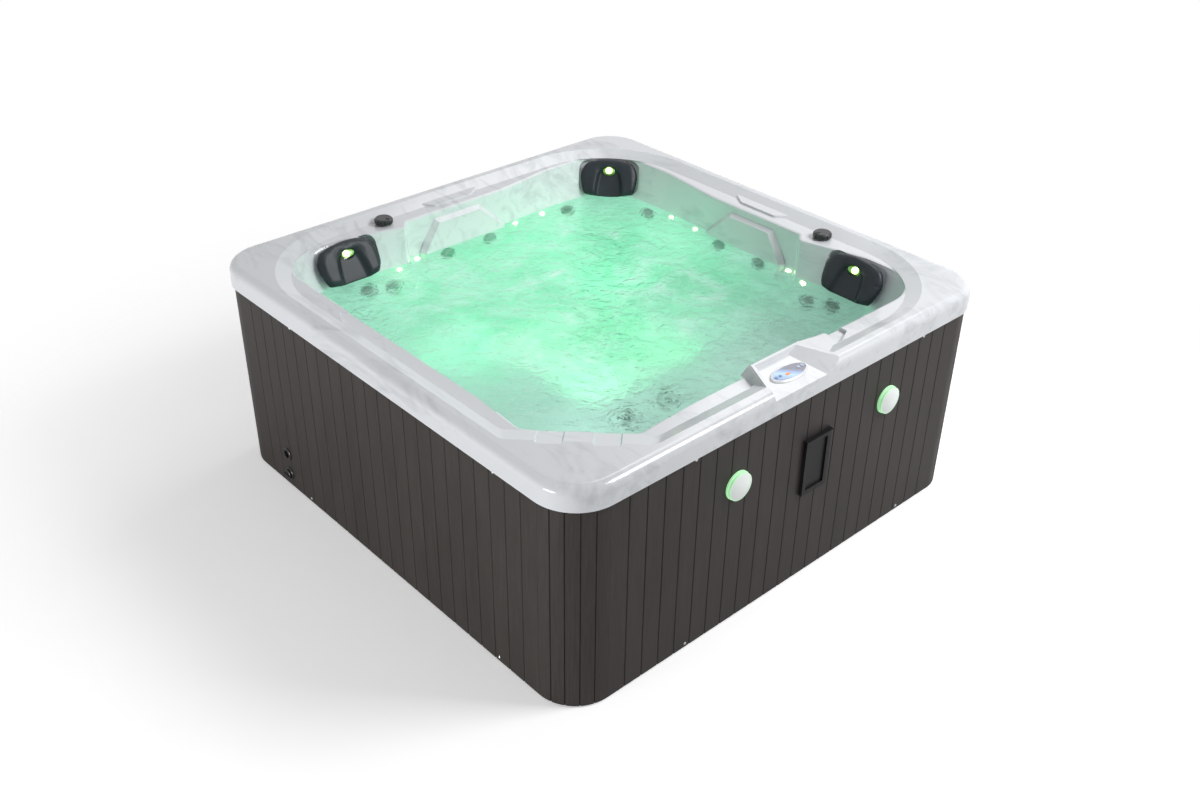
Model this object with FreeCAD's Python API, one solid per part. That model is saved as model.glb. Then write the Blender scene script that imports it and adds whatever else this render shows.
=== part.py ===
import FreeCAD
import Part

import math
import os

from FreeCAD import Vector

# Overall sizes in millimetres; the origin is the middle of the foot, front is -Y, up is +Z
TUB_WIDTH = 2000.0
TUB_HEIGHT = 850.0
SHELL_WALL = 8.0
LIP_DEPTH = 83.0
LIP_CORNER = 160.0
LIP_ROUND = 30.0

# Stepped rim: a flat band, a slope down to the ledge, then the basin edge
BAND_WIDTH = 50.0
BAND_CORNER = 425.0
STEP_WIDTH = 55.0
LEDGE_DROP = 24.0
DECK_REACH = 322.0
SLOPE_REACH = 389.0
RECESS_WIDTH = 86.0
RECESS_DEPTH = 4.0
DECK_CORNER = 40.0
EDGE_ROUND = 10.0

# Lowered ledge on the two near sides
LOW_LEDGE_DROP = 12.0
LOW_LEDGE_NEAR = -480.0
LOW_LEDGE_FAR = 332.0
LOW_LEDGE_SLANT = 32.0

# Basin levels, and its half outline at each of them from the near corner to the far corner
WATER_DROP = 160.0
SEAT_DROP = 420.0
SEAT_FOOT = 40.0

# Basin outlines at the edge, the waterline and the seats, mirrored across the diagonal.
# Each point is a place along the wall and how far it is in from the side of the tub; places count from
# the nearest corner of the tub, and those of the middle stretch from the middle of the side.
EDGE_FRONT = [(408.0, 152.0), (630.0, 171.0)]
EDGE_FRONT_CORNER = (142.0, 171.0)
EDGE_RIGHT_NEAR = (440.0, 142.0)
EDGE_RIGHT_MIDDLE = [(-290.0, 212.0), (-256.0, 171.0), (215.0, 171.0)]
EDGE_RIGHT_FAR = (500.0, 134.0)
EDGE_FAR_CORNER = 138.0
EDGE_CORNERS = [50.0, 120.0, 190.0, 110.0, 18.0, 18.0, 200.0, 150.0, 230.0]
WATER_FRONT = [(422.0, 188.0), (638.0, 200.0)]
WATER_FRONT_CORNER = (200.0, 205.0)
WATER_RIGHT_NEAR = (440.0, 212.0)
WATER_RIGHT_MIDDLE = [(-305.0, 235.0), (-275.0, 192.0), (215.0, 194.0)]
WATER_RIGHT_FAR = (520.0, 185.0)
WATER_FAR_CORNER = 203.0
WATER_CORNERS = [60.0, 120.0, 165.0, 110.0, 18.0, 24.0, 200.0, 150.0, 210.0]
SEAT_FRONT = [(450.0, 225.0), (650.0, 260.0)]
SEAT_FRONT_CORNER = (255.0, 260.0)
SEAT_RIGHT_NEAR = (440.0, 278.0)
SEAT_RIGHT_MIDDLE = [(-302.0, 285.0), (-262.0, 265.0), (210.0, 265.0)]
SEAT_RIGHT_FAR = (540.0, 252.0)
SEAT_FAR_CORNER = 275.0
SEAT_CORNERS = [70.0, 120.0, 140.0, 110.0, 20.0, 60.0, 200.0, 150.0, 190.0]

# Seat pockets and footwell
POCKET_OVERLAP = 20.0
CORNER_SEAT_DEPTH = 55.0
MIDDLE_SEAT_DEPTH = 35.0
POCKET_DRAFT = 18.0
POCKET_FOOT = 30.0
POCKET_CORNER = 85.0
FOOTWELL_NEAR = -290.0
FOOTWELL_FAR = 330.0
FOOTWELL_FLOOR = 110.0
FOOTWELL_DRAFT = 20.0
FOOTWELL_FOOT = 40.0
FOOTWELL_CORNER = 95.0

# Raised pads on the far ledges and raised backrests on the far walls
PAD_HEIGHT = 8.0
PAD_INSET = 134.0
PAD_NEAR = -92.0
PAD_FAR = 86.0
PAD_FLARE_NEAR = 50.0
PAD_FLARE_FAR = 88.0
BACKREST_DEPTH = 18.0
BACKREST_BEVEL = 16.0
BACKREST_TOP_DROP = 48.0
BACKREST_SUNK = 102.0
BACKREST_TOP_NEAR = -132.0
BACKREST_TOP_FAR = 100.0
BACKREST_FOOT_NEAR = -222.0
BACKREST_FOOT_FAR = 204.0

# Control pod on the front ledge, with a dish that tips towards the front lip
POD_LEFT_BACK = -92.0
POD_LEFT_FRONT = -150.0
POD_RIGHT = 150.0
POD_BEVEL = 7.0
POD_RAMP = 165.0
POD_INSET = 194.0
POD_LEAN = 14.0
DISH_CREST_INSET = 158.0
DISH_SUNK = 18.0
DISH_FALL = 8.0
DISH_LEFT_BACK = -70.0
DISH_LEFT_FRONT = -164.0
DISH_RIGHT_BACK = 80.0
DISH_RIGHT_FRONT = 94.0
DISH_HEIGHT = 36.0
DISH_LEFT_FLARE = 12.0
DISH_RIGHT_FLARE_BACK = 92.0
DISH_RIGHT_FLARE_FRONT = 132.0

# Cabinet panels
PANEL_INSET = 9.0
PANEL_THICK = 16.0
PANEL_LIFT = 5.0
PANEL_TUCK = 18.0
PANEL_GAP = 1.0
PLANK_PITCH = 73.0
CORNER_SLATS = 5
GROOVE_WIDTH = 6.0
GROOVE_DEPTH = 3.5

# Base pan and timber support frame
PAN_HEIGHT = 32.0
PAN_WALL = 5.0
FRAME_BAR = 40.0
FRAME_INSET = 31.0
FRAME_CUT = 180.0
LOW_RING_HEIGHT = 30.0
POST_INSET = 220.0
UPSTAND_INSET = 31.0
UPSTAND_WIDTH = 10.0

# Cabinet screws
SCREW_HEAD = 5.5
SCREW_HEAD_HEIGHT = 2.6
SCREW_SHANK = 2.2
SCREW_LENGTH = 30.0
SCREW_LEFT = -495.0
SCREW_RIGHT = 640.0
SCREW_DROP = 10.0
SCREW_LOW = 20.0
FIT = 0.05
CLEAR = 0.4
SEAT_GAP = 0.3

# Headrest pillows
PILLOW_WIDTH = 252.0
PILLOW_HEIGHT = 140.0
PILLOW_BOLSTER = 48.0
PILLOW_CROWN = 44.0
PILLOW_SCOOP = 18.0
PILLOW_DROP = 103.0
NICHE_MARGIN = 4.0
NICHE_CORNER = 40.0
NICHE_DEPTH = 90.0
SIDE_PILLOW_INSET = 176.0
SIDE_PILLOW_ALONG = -547.0
SIDE_PILLOW_LEAN = 31.0
BACK_PILLOW_INSET = 234.0
BACK_PILLOW_LEAN = 33.5
NOZZLE_LONG = 25.0
NOZZLE_SHORT = 14.0
NOZZLE_RISE = 26.0
NOZZLE_PROUD = 6.0

# Rim knobs and the valves under them
KNOB_INSET = 132.0
KNOB_ALONG = -338.0
KNOB_RADIUS = 36.0
KNOB_HEIGHT = 20.0
KNOB_NECK = 20.0
KNOB_LIFT = 6.0
KNOB_SCALLOPS = 10
KNOB_SCALLOP = 6.0
VALVE_RADIUS = 26.0
VALVE_LENGTH = 90.0
STEM_RADIUS = 8.0

# Control panel
PANEL_LONG = 84.0
PANEL_SHORT = 38.0
PANEL_RISE = 6.0
PANEL_PLACE_INSET = 82.0
PANEL_MIDDLE = 0.0
FACE_LONG = 75.0
FACE_SHORT = 30.0
FACE_THICK = 1.2
BOX_LENGTH = 120.0
BOX_WIDTH = 40.0
BOX_DEPTH = 36.0
BUTTON_RADIUS = 6.0
BUTTON_LENGTH = 5.0
BUTTON_PROUD = 1.2
BUTTON_TRAVEL = 1.0
BUTTON_ALONG = [-62.0, -44.0, 44.0, 62.0]

# Cabinet lamps
LAMP_RADIUS = 52.0
LAMP_BASE = 6.0
LAMP_BAND = 11.0
LAMP_DOME = 14.0
LAMP_DROP = 197.0
LAMP_PLACES = [-298.0, 467.0]
LAMP_STUB = 15.0

# Fittings low on the left side
INLET_RADIUS = 26.0
INLET_RISE = 6.0
INLET_BODY = 20.0
INLET_BODY_LENGTH = 42.0
POWER_INSET = 360.0
HOSE_RUN = 471.0
HOSE_TURN = 291.0
POWER_LEVEL = 150.0
DRAIN_LEVEL = 60.0
DRAIN_PIPE = 12.0
CAP_RADIUS = 20.0
CAP_HEIGHT = 9.0

# Framed cover on the front panel
COVER_LEFT = 25.0
COVER_RIGHT = 150.0
COVER_DROP = 177.0
COVER_HEIGHT = 220.0
COVER_THICK = 14.0
COVER_STILE = 17.0
COVER_RECESS = 7.0
COVER_FLANGE = 5.0

# Jets
JET_FLANGE = 33.0
JET_FLANGE_RISE = 3.0
JET_BODY = 23.0
JET_BODY_LENGTH = 58.0
JET_BARREL = 12.0
JET_BARREL_LENGTH = 30.0
JET_FACE = 30.0
JET_FACE_RISE = 8.0
JET_LOBES = 12
JET_NOZZLE = 6.0
JET_GAP = 0.4
JET_BARB = 9.0
BACKREST_JETS = [(104.0, 42.0), (-112.0, 42.0)]
WALL_JETS = [(542.0, 65.0), (-395.0, 115.0), (-505.0, 90.0)]
WALL_START = 400.0
BENCH_JETS = [(-243.0, -430.0), (-47.0, -430.0)]

# Lights in the wall at the waterline and in the footwell
LIGHT_RADIUS = 9.0
LIGHT_RISE = 4.0
LIGHT_BODY = 6.0
LIGHT_BODY_LENGTH = 20.0
LIGHT_DEPTH = 28.0
LIGHT_NEAR = -350.0
LIGHT_FAR = 412.0
LIGHT_BESIDE = 22.0
LIGHT_BEYOND = 60.0
MAIN_LIGHT_RADIUS = 60.0
MAIN_LIGHT_RISE = 14.0
MAIN_LIGHT_BODY = 46.0
MAIN_LIGHT_DEPTH = 55.0
MAIN_LIGHT_UP = 105.0

# Filter, suction and drain in the footwell
FILTER_COVER = 62.0
FILTER_RADIUS = 52.0
FILTER_LENGTH = 270.0
FILTER_WALL = 4.0
FILTER_UP = 105.0
CARTRIDGE_RADIUS = 42.0
CARTRIDGE_LENGTH = 225.0
CARTRIDGE_PLEATS = 16
SUCTION_RADIUS = 45.0
SUCTION_RISE = 12.0
SUCTION_UP = 115.0
SUCTION_SPREAD = 120.0
FLOOR_DRAIN_RADIUS = 30.0
FLOOR_DRAIN_PLACE = (-170.0, 200.0)

# Equipment under the seats
PUMP_LEVEL = 125.0
PUMP_INSET = 360.0
PUMP_MOTOR = 78.0
PUMP_MOTOR_INSET = 310.0
PUMP_MOTOR_LENGTH = 250.0
PUMP_WET = 98.0
PUMP_WET_LENGTH = 90.0
PIPE_RADIUS = 25.0
PIPE_WALL = 3.0
PIPE_BEND = 48.0
HEATER_RADIUS = 36.0
HEATER_START = -120.0
HEATER_LENGTH = 420.0
HEATER_LEVEL = 310.0
HEATER_INSET = 155.0
MANIFOLD_INSET = 440.0
MANIFOLD_LEVEL = 190.0
MANIFOLD_LENGTH = 420.0
CONTROL_BOX = (340.0, 110.0, 220.0)
CONTROL_BOX_LEFT = -60.0
BLOWER_RADIUS = 88.0
BLOWER_HEIGHT = 200.0
BLOWER_ALONG = -330.0
BLOWER_INSET = 162.0
AIR_RUN = 800.0
BLOCK_HALF = 210.0

HALF = TUB_WIDTH / 2.0
WATER_LEVEL = TUB_HEIGHT - WATER_DROP
SEAT_LEVEL = TUB_HEIGHT - SEAT_DROP
BACKREST_TOP = TUB_HEIGHT - BACKREST_TOP_DROP
BACKREST_FOOT = WATER_LEVEL - BACKREST_SUNK
PILLOW_LEVEL = TUB_HEIGHT - PILLOW_DROP
LIGHT_LEVEL = WATER_LEVEL - LIGHT_DEPTH
FILTER_LEVEL = FOOTWELL_FLOOR + FILTER_UP
SUCTION_LEVEL = FOOTWELL_FLOOR + SUCTION_UP
MAIN_LIGHT_LEVEL = FOOTWELL_FLOOR + MAIN_LIGHT_UP
PAD_INNER = HALF - PAD_INSET
POD_INNER = POD_INSET - HALF
DISH_CREST = DISH_CREST_INSET - HALF
PANEL_PLACE = PANEL_PLACE_INSET - HALF
SIDE_PILLOW_OUT = HALF - SIDE_PILLOW_INSET
BACK_PILLOW_OUT = HALF - BACK_PILLOW_INSET
KNOB_OUT = HALF - KNOB_INSET
POST_SPREAD = HALF - POST_INSET
PUMP_LINE = PUMP_INSET - HALF
PUMP_MOTOR_START = PUMP_MOTOR_INSET - HALF
HEATER_LINE = HEATER_INSET - HALF
MANIFOLD_LINE = HALF - MANIFOLD_INSET
BLOWER_LINE = HALF - BLOWER_INSET
LIP_FOOT = TUB_HEIGHT - LIP_DEPTH
LEDGE = TUB_HEIGHT - LEDGE_DROP
LOW_LEDGE = LEDGE - LOW_LEDGE_DROP
CABINET_HALF = HALF - PANEL_INSET
CABINET_CORNER = LIP_CORNER - PANEL_INSET
PANEL_BACK = CABINET_HALF - PANEL_THICK
PANEL_TOP = LIP_FOOT + PANEL_TUCK
TOP_RING_FOOT = PANEL_TOP - FRAME_BAR
POWER_PLACE = HALF - POWER_INSET
SCREW_TOP = LIP_FOOT - SCREW_DROP
LAMP_LEVEL = LIP_FOOT - LAMP_DROP
COVER_TOP = LIP_FOOT - COVER_DROP
COVER_FOOT = COVER_TOP - COVER_HEIGHT
PAN_FLOOR = PAN_WALL
FRAME_HALF = HALF - FRAME_INSET
BUTTON_FOOT = PANEL_RISE - BUTTON_LENGTH
LIGHT_PLACES = [LIGHT_NEAR, BACKREST_FOOT_NEAR - LIGHT_BESIDE, BACKREST_FOOT_FAR + LIGHT_BEYOND, LIGHT_FAR]
UP = Vector(0.0, 0.0, 1.0)
ACROSS = Vector(1.0, 0.0, 0.0)
PI_4 = math.pi / 4.0


# Outlines and solids

def side_normal(start, end):
    """Outward direction of one side of a counter-clockwise outline."""
    length = math.hypot(end[0] - start[0], end[1] - start[1])
    return ((end[1] - start[1]) / length, (start[0] - end[0]) / length)


def grown(points, distance):
    """Every side of a counter-clockwise outline moved outwards by one distance."""
    moved = []
    count = len(points)
    for i in range(count):
        here = points[i]
        first = side_normal(points[i - 1], here)
        second = side_normal(here, points[(i + 1) % count])
        scale = distance / (1.0 + first[0] * second[0] + first[1] * second[1])
        moved.append((here[0] + (first[0] + second[0]) * scale, here[1] + (first[1] + second[1]) * scale))
    return moved


def outline(points, radii, level, grow=0.0):
    """Closed wire of lines and tangent arcs through a counter-clockwise outline at one level."""
    corners = [Vector(x, y, level) for x, y in grown(points, grow)]
    count = len(corners)
    arcs = []
    for i in range(count):
        here = corners[i]
        back = (corners[i - 1] - here).normalize()
        ahead = (corners[(i + 1) % count] - here).normalize()
        turns_left = ahead.x * back.y - ahead.y * back.x > 0.0
        radius = radii[i] + grow if turns_left else radii[i] - grow
        half_angle = back.getAngle(ahead) / 2.0
        tangent = radius / math.tan(half_angle)
        middle = (back + ahead).normalize() * (radius / math.sin(half_angle) - radius)
        arcs.append((here + back * tangent, here + middle, here + ahead * tangent))
    edges = []
    for i in range(count):
        start, middle, end = arcs[i]
        edges.append(Part.Arc(start, middle, end).toShape())
        edges.append(Part.LineSegment(end, arcs[(i + 1) % count][0]).toShape())
    return Part.Wire(edges)


def stacked(wires):
    """Solid with straight sides through a stack of wires."""
    return Part.makeLoft(wires, True, True)


def prism(points, radii, low, high, grow=0.0):
    """Upright solid over a rounded outline."""
    face = Part.Face(outline(points, radii, low, grow))
    return face.extrude(Vector(0.0, 0.0, high - low))


def box(x0, x1, y0, y1, z0, z1):
    """Square block between two corners."""
    return Part.makeBox(x1 - x0, y1 - y0, z1 - z0, Vector(x0, y0, z0))


def rod(radius, start, direction, length):
    """Round bar from a point along a direction."""
    return Part.makeCylinder(radius, length, Vector(start), Vector(direction))


def turned(profile):
    """Solid turned about its own z axis from pairs of radius and height."""
    points = [Vector(radius, 0.0, height) for radius, height in profile]
    face = Part.Face(Part.makePolygon(points + points[:1]))
    solid = face.revolve(Vector(0.0, 0.0, 0.0), UP, 360.0)
    if solid.Volume < 0.0:
        solid.reverse()
    return solid


def oval(long_half, short_half, height):
    """Ellipse wire about the z axis."""
    curve = Part.Ellipse(Vector(0.0, 0.0, height), long_half, short_half)
    return Part.Wire(curve.toShape())


def oval_prism(long_half, short_half, low, high):
    """Upright solid over an ellipse."""
    return Part.Face(oval(long_half, short_half, low)).extrude(Vector(0.0, 0.0, high - low))


def placed(shape, origin, up, across):
    """A shape drawn about its own origin, put at a point with its z along up and its x along across."""
    z_axis = Vector(up).normalize()
    x_axis = (Vector(across) - z_axis * z_axis.dot(across)).normalize()
    y_axis = z_axis.cross(x_axis)
    matrix = FreeCAD.Matrix(x_axis.x, y_axis.x, z_axis.x, origin.x, x_axis.y, y_axis.y, z_axis.y, origin.y,
                            x_axis.z, y_axis.z, z_axis.z, origin.z, 0.0, 0.0, 0.0, 1.0)
    copy = shape.copy()
    copy.Placement = FreeCAD.Placement(matrix).multiply(shape.Placement)
    return copy


def swapped(shape):
    """A shape mirrored across the diagonal from the near corner to the far corner."""
    return shape.mirror(Vector(0.0, 0.0, 0.0), Vector(1.0, -1.0, 0.0))


def pipe_solid(points, radius, bend):
    """Round bar along straight runs joined by tangent arcs."""
    corners = [Vector(point) for point in points]
    runs = []
    start = corners[0]
    for i in range(1, len(corners) - 1):
        here = corners[i]
        back = (corners[i - 1] - here).normalize()
        ahead = (corners[i + 1] - here).normalize()
        half_angle = back.getAngle(ahead) / 2.0
        tangent = bend / math.tan(half_angle)
        centre = here + (back + ahead).normalize() * (bend / math.sin(half_angle))
        arc_start = here + back * tangent
        runs.append(rod(radius, start, arc_start - start, (arc_start - start).Length))
        disc = Part.Face(Part.Wire(Part.makeCircle(radius, arc_start, back)))
        turn = math.degrees(math.pi - 2.0 * half_angle)
        runs.append(disc.revolve(centre, ahead.cross(back), turn))
        start = here + ahead * tangent
    runs.append(rod(radius, start, corners[-1] - start, (corners[-1] - start).Length))
    return runs[0].fuse(runs[1:]).removeSplitter()


def pipe(points, radius=PIPE_RADIUS, bend=PIPE_BEND, wall=PIPE_WALL):
    """Open pipe along straight runs joined by tangent arcs."""
    return pipe_solid(points, radius, bend).cut(pipe_solid(points, radius - wall, bend))


def one_solid(shape):
    """The only solid of a shape, with coplanar faces merged."""
    return shape.removeSplitter().Solids[0]


def group(shapes):
    """Several solids as one piece."""
    return Part.makeCompound([solid for shape in shapes for solid in shape.Solids])


# Shell: basin walls

def whole(half_list, flip):
    """Full counter-clockwise list from the half given, mirrored across the diagonal."""
    return half_list + [flip(item) for item in half_list[-2::-1]]


def flip_point(point):
    return (point[1], point[0])


def same(value):
    return value


def half_outline(front, front_corner, right_near, right_middle, right_far, far_corner):
    """Front and right walls of the basin, from the near diagonal to the far corner."""
    points = [(along - HALF, inset - HALF) for along, inset in front]
    points.append((HALF - front_corner[0], front_corner[1] - HALF))
    points.append((HALF - right_near[1], right_near[0] - HALF))
    points += [(HALF - inset, along) for along, inset in right_middle]
    points.append((HALF - right_far[1], HALF - right_far[0]))
    points.append((HALF - far_corner, HALF - far_corner))
    return points


EDGE_OUTLINE = half_outline(EDGE_FRONT, EDGE_FRONT_CORNER, EDGE_RIGHT_NEAR, EDGE_RIGHT_MIDDLE,
                            EDGE_RIGHT_FAR, EDGE_FAR_CORNER)
WATER_OUTLINE = half_outline(WATER_FRONT, WATER_FRONT_CORNER, WATER_RIGHT_NEAR, WATER_RIGHT_MIDDLE,
                             WATER_RIGHT_FAR, WATER_FAR_CORNER)
SEAT_OUTLINE = half_outline(SEAT_FRONT, SEAT_FRONT_CORNER, SEAT_RIGHT_NEAR, SEAT_RIGHT_MIDDLE,
                            SEAT_RIGHT_FAR, SEAT_FAR_CORNER)
EDGE_POINTS = whole(EDGE_OUTLINE, flip_point)
EDGE_RADII = whole(EDGE_CORNERS, same)
WATER_POINTS = whole(WATER_OUTLINE, flip_point)
WATER_RADII = whole(WATER_CORNERS, same)
SEAT_POINTS = whole(SEAT_OUTLINE, flip_point)
SEAT_RADII = whole(SEAT_CORNERS, same)


def foot_wires(points, radii, floor, foot, draft, wall):
    """Three wires that round the foot of a hollow."""
    wires = []
    for angle in (0.0, PI_4, 2.0 * PI_4):
        inset = draft + foot - (foot + wall) * math.cos(angle)
        wires.append(outline(points, radii, floor + foot - (foot + wall) * math.sin(angle), -inset))
    return wires


def basin(wall):
    """Basin hollow; with a wall thickness it is the outside of the basin instead."""
    if wall > 0.0:
        wires = [outline(EDGE_POINTS, EDGE_RADII, LEDGE, wall)]
    else:
        wires = [outline(EDGE_POINTS, EDGE_RADII, LEDGE + 1.0, EDGE_ROUND)]
        for angle in (0.0, PI_4):
            drop = EDGE_ROUND * math.sin(angle)
            wires.append(outline(EDGE_POINTS, EDGE_RADII, LEDGE - EDGE_ROUND + EDGE_ROUND * math.cos(angle),
                                 EDGE_ROUND - drop))
    wires.append(outline(EDGE_POINTS, EDGE_RADII, LEDGE - EDGE_ROUND, wall))
    wires.append(outline(WATER_POINTS, WATER_RADII, WATER_LEVEL, wall))
    wires += foot_wires(SEAT_POINTS, SEAT_RADII, SEAT_LEVEL, SEAT_FOOT, 0.0, wall)
    return stacked(wires)


def bowl(x0, x1, y0, y1, corner, top, floor, draft, foot, wall):
    """Hollow with drafted sides and a rounded foot over a rounded rectangle."""
    points = [(x0, y0), (x1, y0), (x1, y1), (x0, y1)]
    radii = [corner] * 4
    wires = [outline(points, radii, top, wall)]
    wires += foot_wires(points, radii, floor, foot, draft, wall)
    return stacked(wires)


def seats(wall):
    """Seat pockets and footwell as a list of hollows."""
    top = SEAT_LEVEL + POCKET_OVERLAP
    deep = SEAT_LEVEL - CORNER_SEAT_DEPTH
    shallow = SEAT_LEVEL - MIDDLE_SEAT_DEPTH
    inner = FOOTWELL_FAR - POCKET_CORNER
    outer = SEAT_OUTLINE[6][0] - SEAT_FOOT
    corner_out = SEAT_OUTLINE[4][0] - SEAT_FOOT
    hollows = []
    shape = (POCKET_CORNER, top)
    foot = (POCKET_DRAFT, POCKET_FOOT, wall)
    hollows.append(bowl(inner, outer, inner, outer, *shape, deep, *foot))
    middle = bowl(inner, outer, SEAT_OUTLINE[5][1] + SEAT_FOOT, SEAT_OUTLINE[6][1], *shape, shallow, *foot)
    side = bowl(inner, corner_out, SEAT_OUTLINE[2][1] + SEAT_FOOT, SEAT_OUTLINE[5][1] - SEAT_FOOT, *shape,
                deep, *foot)
    for hollow in (middle, side):
        hollows.append(hollow)
        hollows.append(swapped(hollow))
    hollows.append(bowl(FOOTWELL_NEAR, FOOTWELL_FAR, FOOTWELL_NEAR, FOOTWELL_FAR, FOOTWELL_CORNER, top,
                        FOOTWELL_FLOOR, FOOTWELL_DRAFT, FOOTWELL_FOOT, wall))
    return hollows


def wall_level(level):
    """Outline of the bare basin wall at one level."""
    edge_level = LEDGE - EDGE_ROUND
    foot_level = SEAT_LEVEL + SEAT_FOOT
    if level > WATER_LEVEL:
        share = (edge_level - level) / (edge_level - WATER_LEVEL)
        high, low = EDGE_POINTS, WATER_POINTS
    else:
        share = (WATER_LEVEL - level) / (WATER_LEVEL - foot_level)
        high, low = WATER_POINTS, SEAT_POINTS
    return [(a[0] + (b[0] - a[0]) * share, a[1] + (b[1] - a[1]) * share) for a, b in zip(high, low)]


def wall_point(x, y, direction, level):
    """Where a level line from a point meets the basin wall."""
    points = wall_level(level)
    best = None
    for i in range(len(points)):
        start = points[i - 1]
        side = (points[i][0] - start[0], points[i][1] - start[1])
        cross = direction[0] * side[1] - direction[1] * side[0]
        if abs(cross) < 1e-9:
            continue
        offset = (start[0] - x, start[1] - y)
        reach = (offset[0] * side[1] - offset[1] * side[0]) / cross
        share = (offset[0] * direction[1] - offset[1] * direction[0]) / cross
        if reach > 0.0 and 0.0 <= share <= 1.0 and (best is None or reach < best):
            best = reach
    return Vector(x + direction[0] * best, y + direction[1] * best, level)


def wall_frame(x, y, direction, level):
    """Point on the basin wall, its inward normal and a level direction along it."""
    step = 4.0
    point = wall_point(x, y, direction, level)
    rise = wall_point(x, y, direction, level + step) - point
    beside = wall_point(x - direction[1] * step, y + direction[0] * step, direction, level)
    along = (beside - point).normalize()
    normal = along.cross(rise).normalize()
    if normal.x * direction[0] + normal.y * direction[1] > 0.0:
        normal = normal * -1.0
    return point + normal * SEAT_GAP, normal, along


# Shell: rim, ledges, pod

def square(half, near_reach):
    """Square outline with its near corner cut off at a reach along both near sides."""
    return [(near_reach - half, -half), (half, -half), (half, half), (-half, half),
            (-half, near_reach - half)]


def rim_pocket(wall):
    """Hollow inside the flat rim band down to the ledge."""
    high_half = HALF - BAND_WIDTH
    low_half = high_half - STEP_WIDTH
    high = square(high_half, DECK_REACH)
    low = square(low_half, SLOPE_REACH - STEP_WIDTH)
    high_radii = [DECK_CORNER, BAND_CORNER, BAND_CORNER, BAND_CORNER, DECK_CORNER]
    low_radii = [DECK_CORNER] + [BAND_CORNER - STEP_WIDTH] * 3 + [DECK_CORNER]
    return stacked([outline(high, high_radii, TUB_HEIGHT, wall),
                    outline(low, low_radii, LEDGE - wall, wall)])


def low_ledge(wall):
    """Lowered part of the left ledge."""
    outer = -(HALF - BAND_WIDTH - STEP_WIDTH) + 2.0
    inner = EDGE_OUTLINE[1][1] + 30.0
    far = LOW_LEDGE_FAR
    points = [(outer, LOW_LEDGE_NEAR), (inner, LOW_LEDGE_NEAR), (inner, far + LOW_LEDGE_SLANT),
              (outer + 30.0, far + LOW_LEDGE_SLANT), (outer, far - LOW_LEDGE_SLANT)]
    return prism(points, [12.0] * 5, LOW_LEDGE - wall, LEDGE, wall)


def ledge_pad():
    """Raised pad on the right ledge."""
    outer = HALF - BAND_WIDTH - STEP_WIDTH / 2.0
    points = [(PAD_INNER, PAD_NEAR), (outer, PAD_NEAR - PAD_FLARE_NEAR), (outer, PAD_FAR + PAD_FLARE_FAR),
              (PAD_INNER, PAD_FAR)]
    radii = [16.0, 12.0, 12.0, 30.0]
    return stacked([outline(points, radii, LEDGE - 1.0), outline(points, radii, LEDGE + PAD_HEIGHT, -4.0)])


def backrest_line(level):
    """How far out a straight line down the wall behind the backrest is at one level."""
    top_out = wall_point(0.0, 0.0, (1.0, 0.0), BACKREST_TOP).x
    foot_out = wall_point(0.0, 0.0, (1.0, 0.0), BACKREST_FOOT).x
    return foot_out + (top_out - foot_out) * (level - BACKREST_FOOT) / (BACKREST_TOP - BACKREST_FOOT)


def backrest():
    """Raised backrest with bevelled edges on the right wall, wider at the waterline than at its top."""
    wires = []
    for inset, depth in ((0.0, -SHELL_WALL / 2.0), (BACKREST_BEVEL, BACKREST_DEPTH)):
        corners = [(BACKREST_FOOT_NEAR + inset, BACKREST_FOOT + inset),
                   (BACKREST_FOOT_FAR - inset, BACKREST_FOOT + inset),
                   (BACKREST_FOOT_FAR - inset, WATER_LEVEL),
                   (BACKREST_TOP_FAR - inset, BACKREST_TOP - inset),
                   (BACKREST_TOP_NEAR + inset, BACKREST_TOP - inset),
                   (BACKREST_FOOT_NEAR + inset, WATER_LEVEL)]
        points = [Vector(backrest_line(level) - depth, along, level) for along, level in corners]
        wires.append(Part.makePolygon(points + points[:1]))
    return stacked(wires)


def backrest_face(level):
    """How far out the front of the backrest is at one level, and how far it leans back."""
    run = (backrest_line(BACKREST_TOP) - backrest_line(BACKREST_FOOT)) / (BACKREST_TOP - BACKREST_FOOT)
    return backrest_line(level) - BACKREST_DEPTH, math.degrees(math.atan(run))


def pod_section(left, inset, inner, top):
    """Outline across the control pod, leaning inwards from its foot, with its left edge bevelled."""
    low = LOW_LEDGE - SHELL_WALL / 2.0
    corners = [(left - POD_LEAN, low), (POD_RIGHT + POD_RAMP, low), (POD_RIGHT, top), (left + POD_BEVEL, top),
               (left, top - POD_BEVEL)]
    lean = inset / (TUB_HEIGHT - low)
    points = [Vector(x, inner - (z - low) * lean, z) for x, z in corners]
    return Part.makePolygon(points + points[:1])


def pod():
    """Raised control pod with a steep left side, a bevelled ridge and a ramp to the right."""
    return stacked([pod_section(POD_LEFT_FRONT, 0.0, -(HALF - BAND_WIDTH), TUB_HEIGHT),
                    pod_section(POD_LEFT_BACK, POD_LEAN, POD_INNER - POD_BEVEL, TUB_HEIGHT),
                    pod_section(POD_LEFT_BACK, POD_LEAN, POD_INNER, TUB_HEIGHT - POD_BEVEL)])


DISH_SLOPE = math.atan2(DISH_FALL, HALF + DISH_CREST)
DISH_NORMAL = Vector(0.0, -math.sin(DISH_SLOPE), math.cos(DISH_SLOPE))


def dish_point(x, y, height=0.0):
    """Point over the floor of the dish, from its plan place and a height along its normal."""
    floor = Vector(x, y, TUB_HEIGHT - DISH_SUNK - (DISH_CREST - y) * math.tan(DISH_SLOPE))
    return floor + DISH_NORMAL * height


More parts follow.
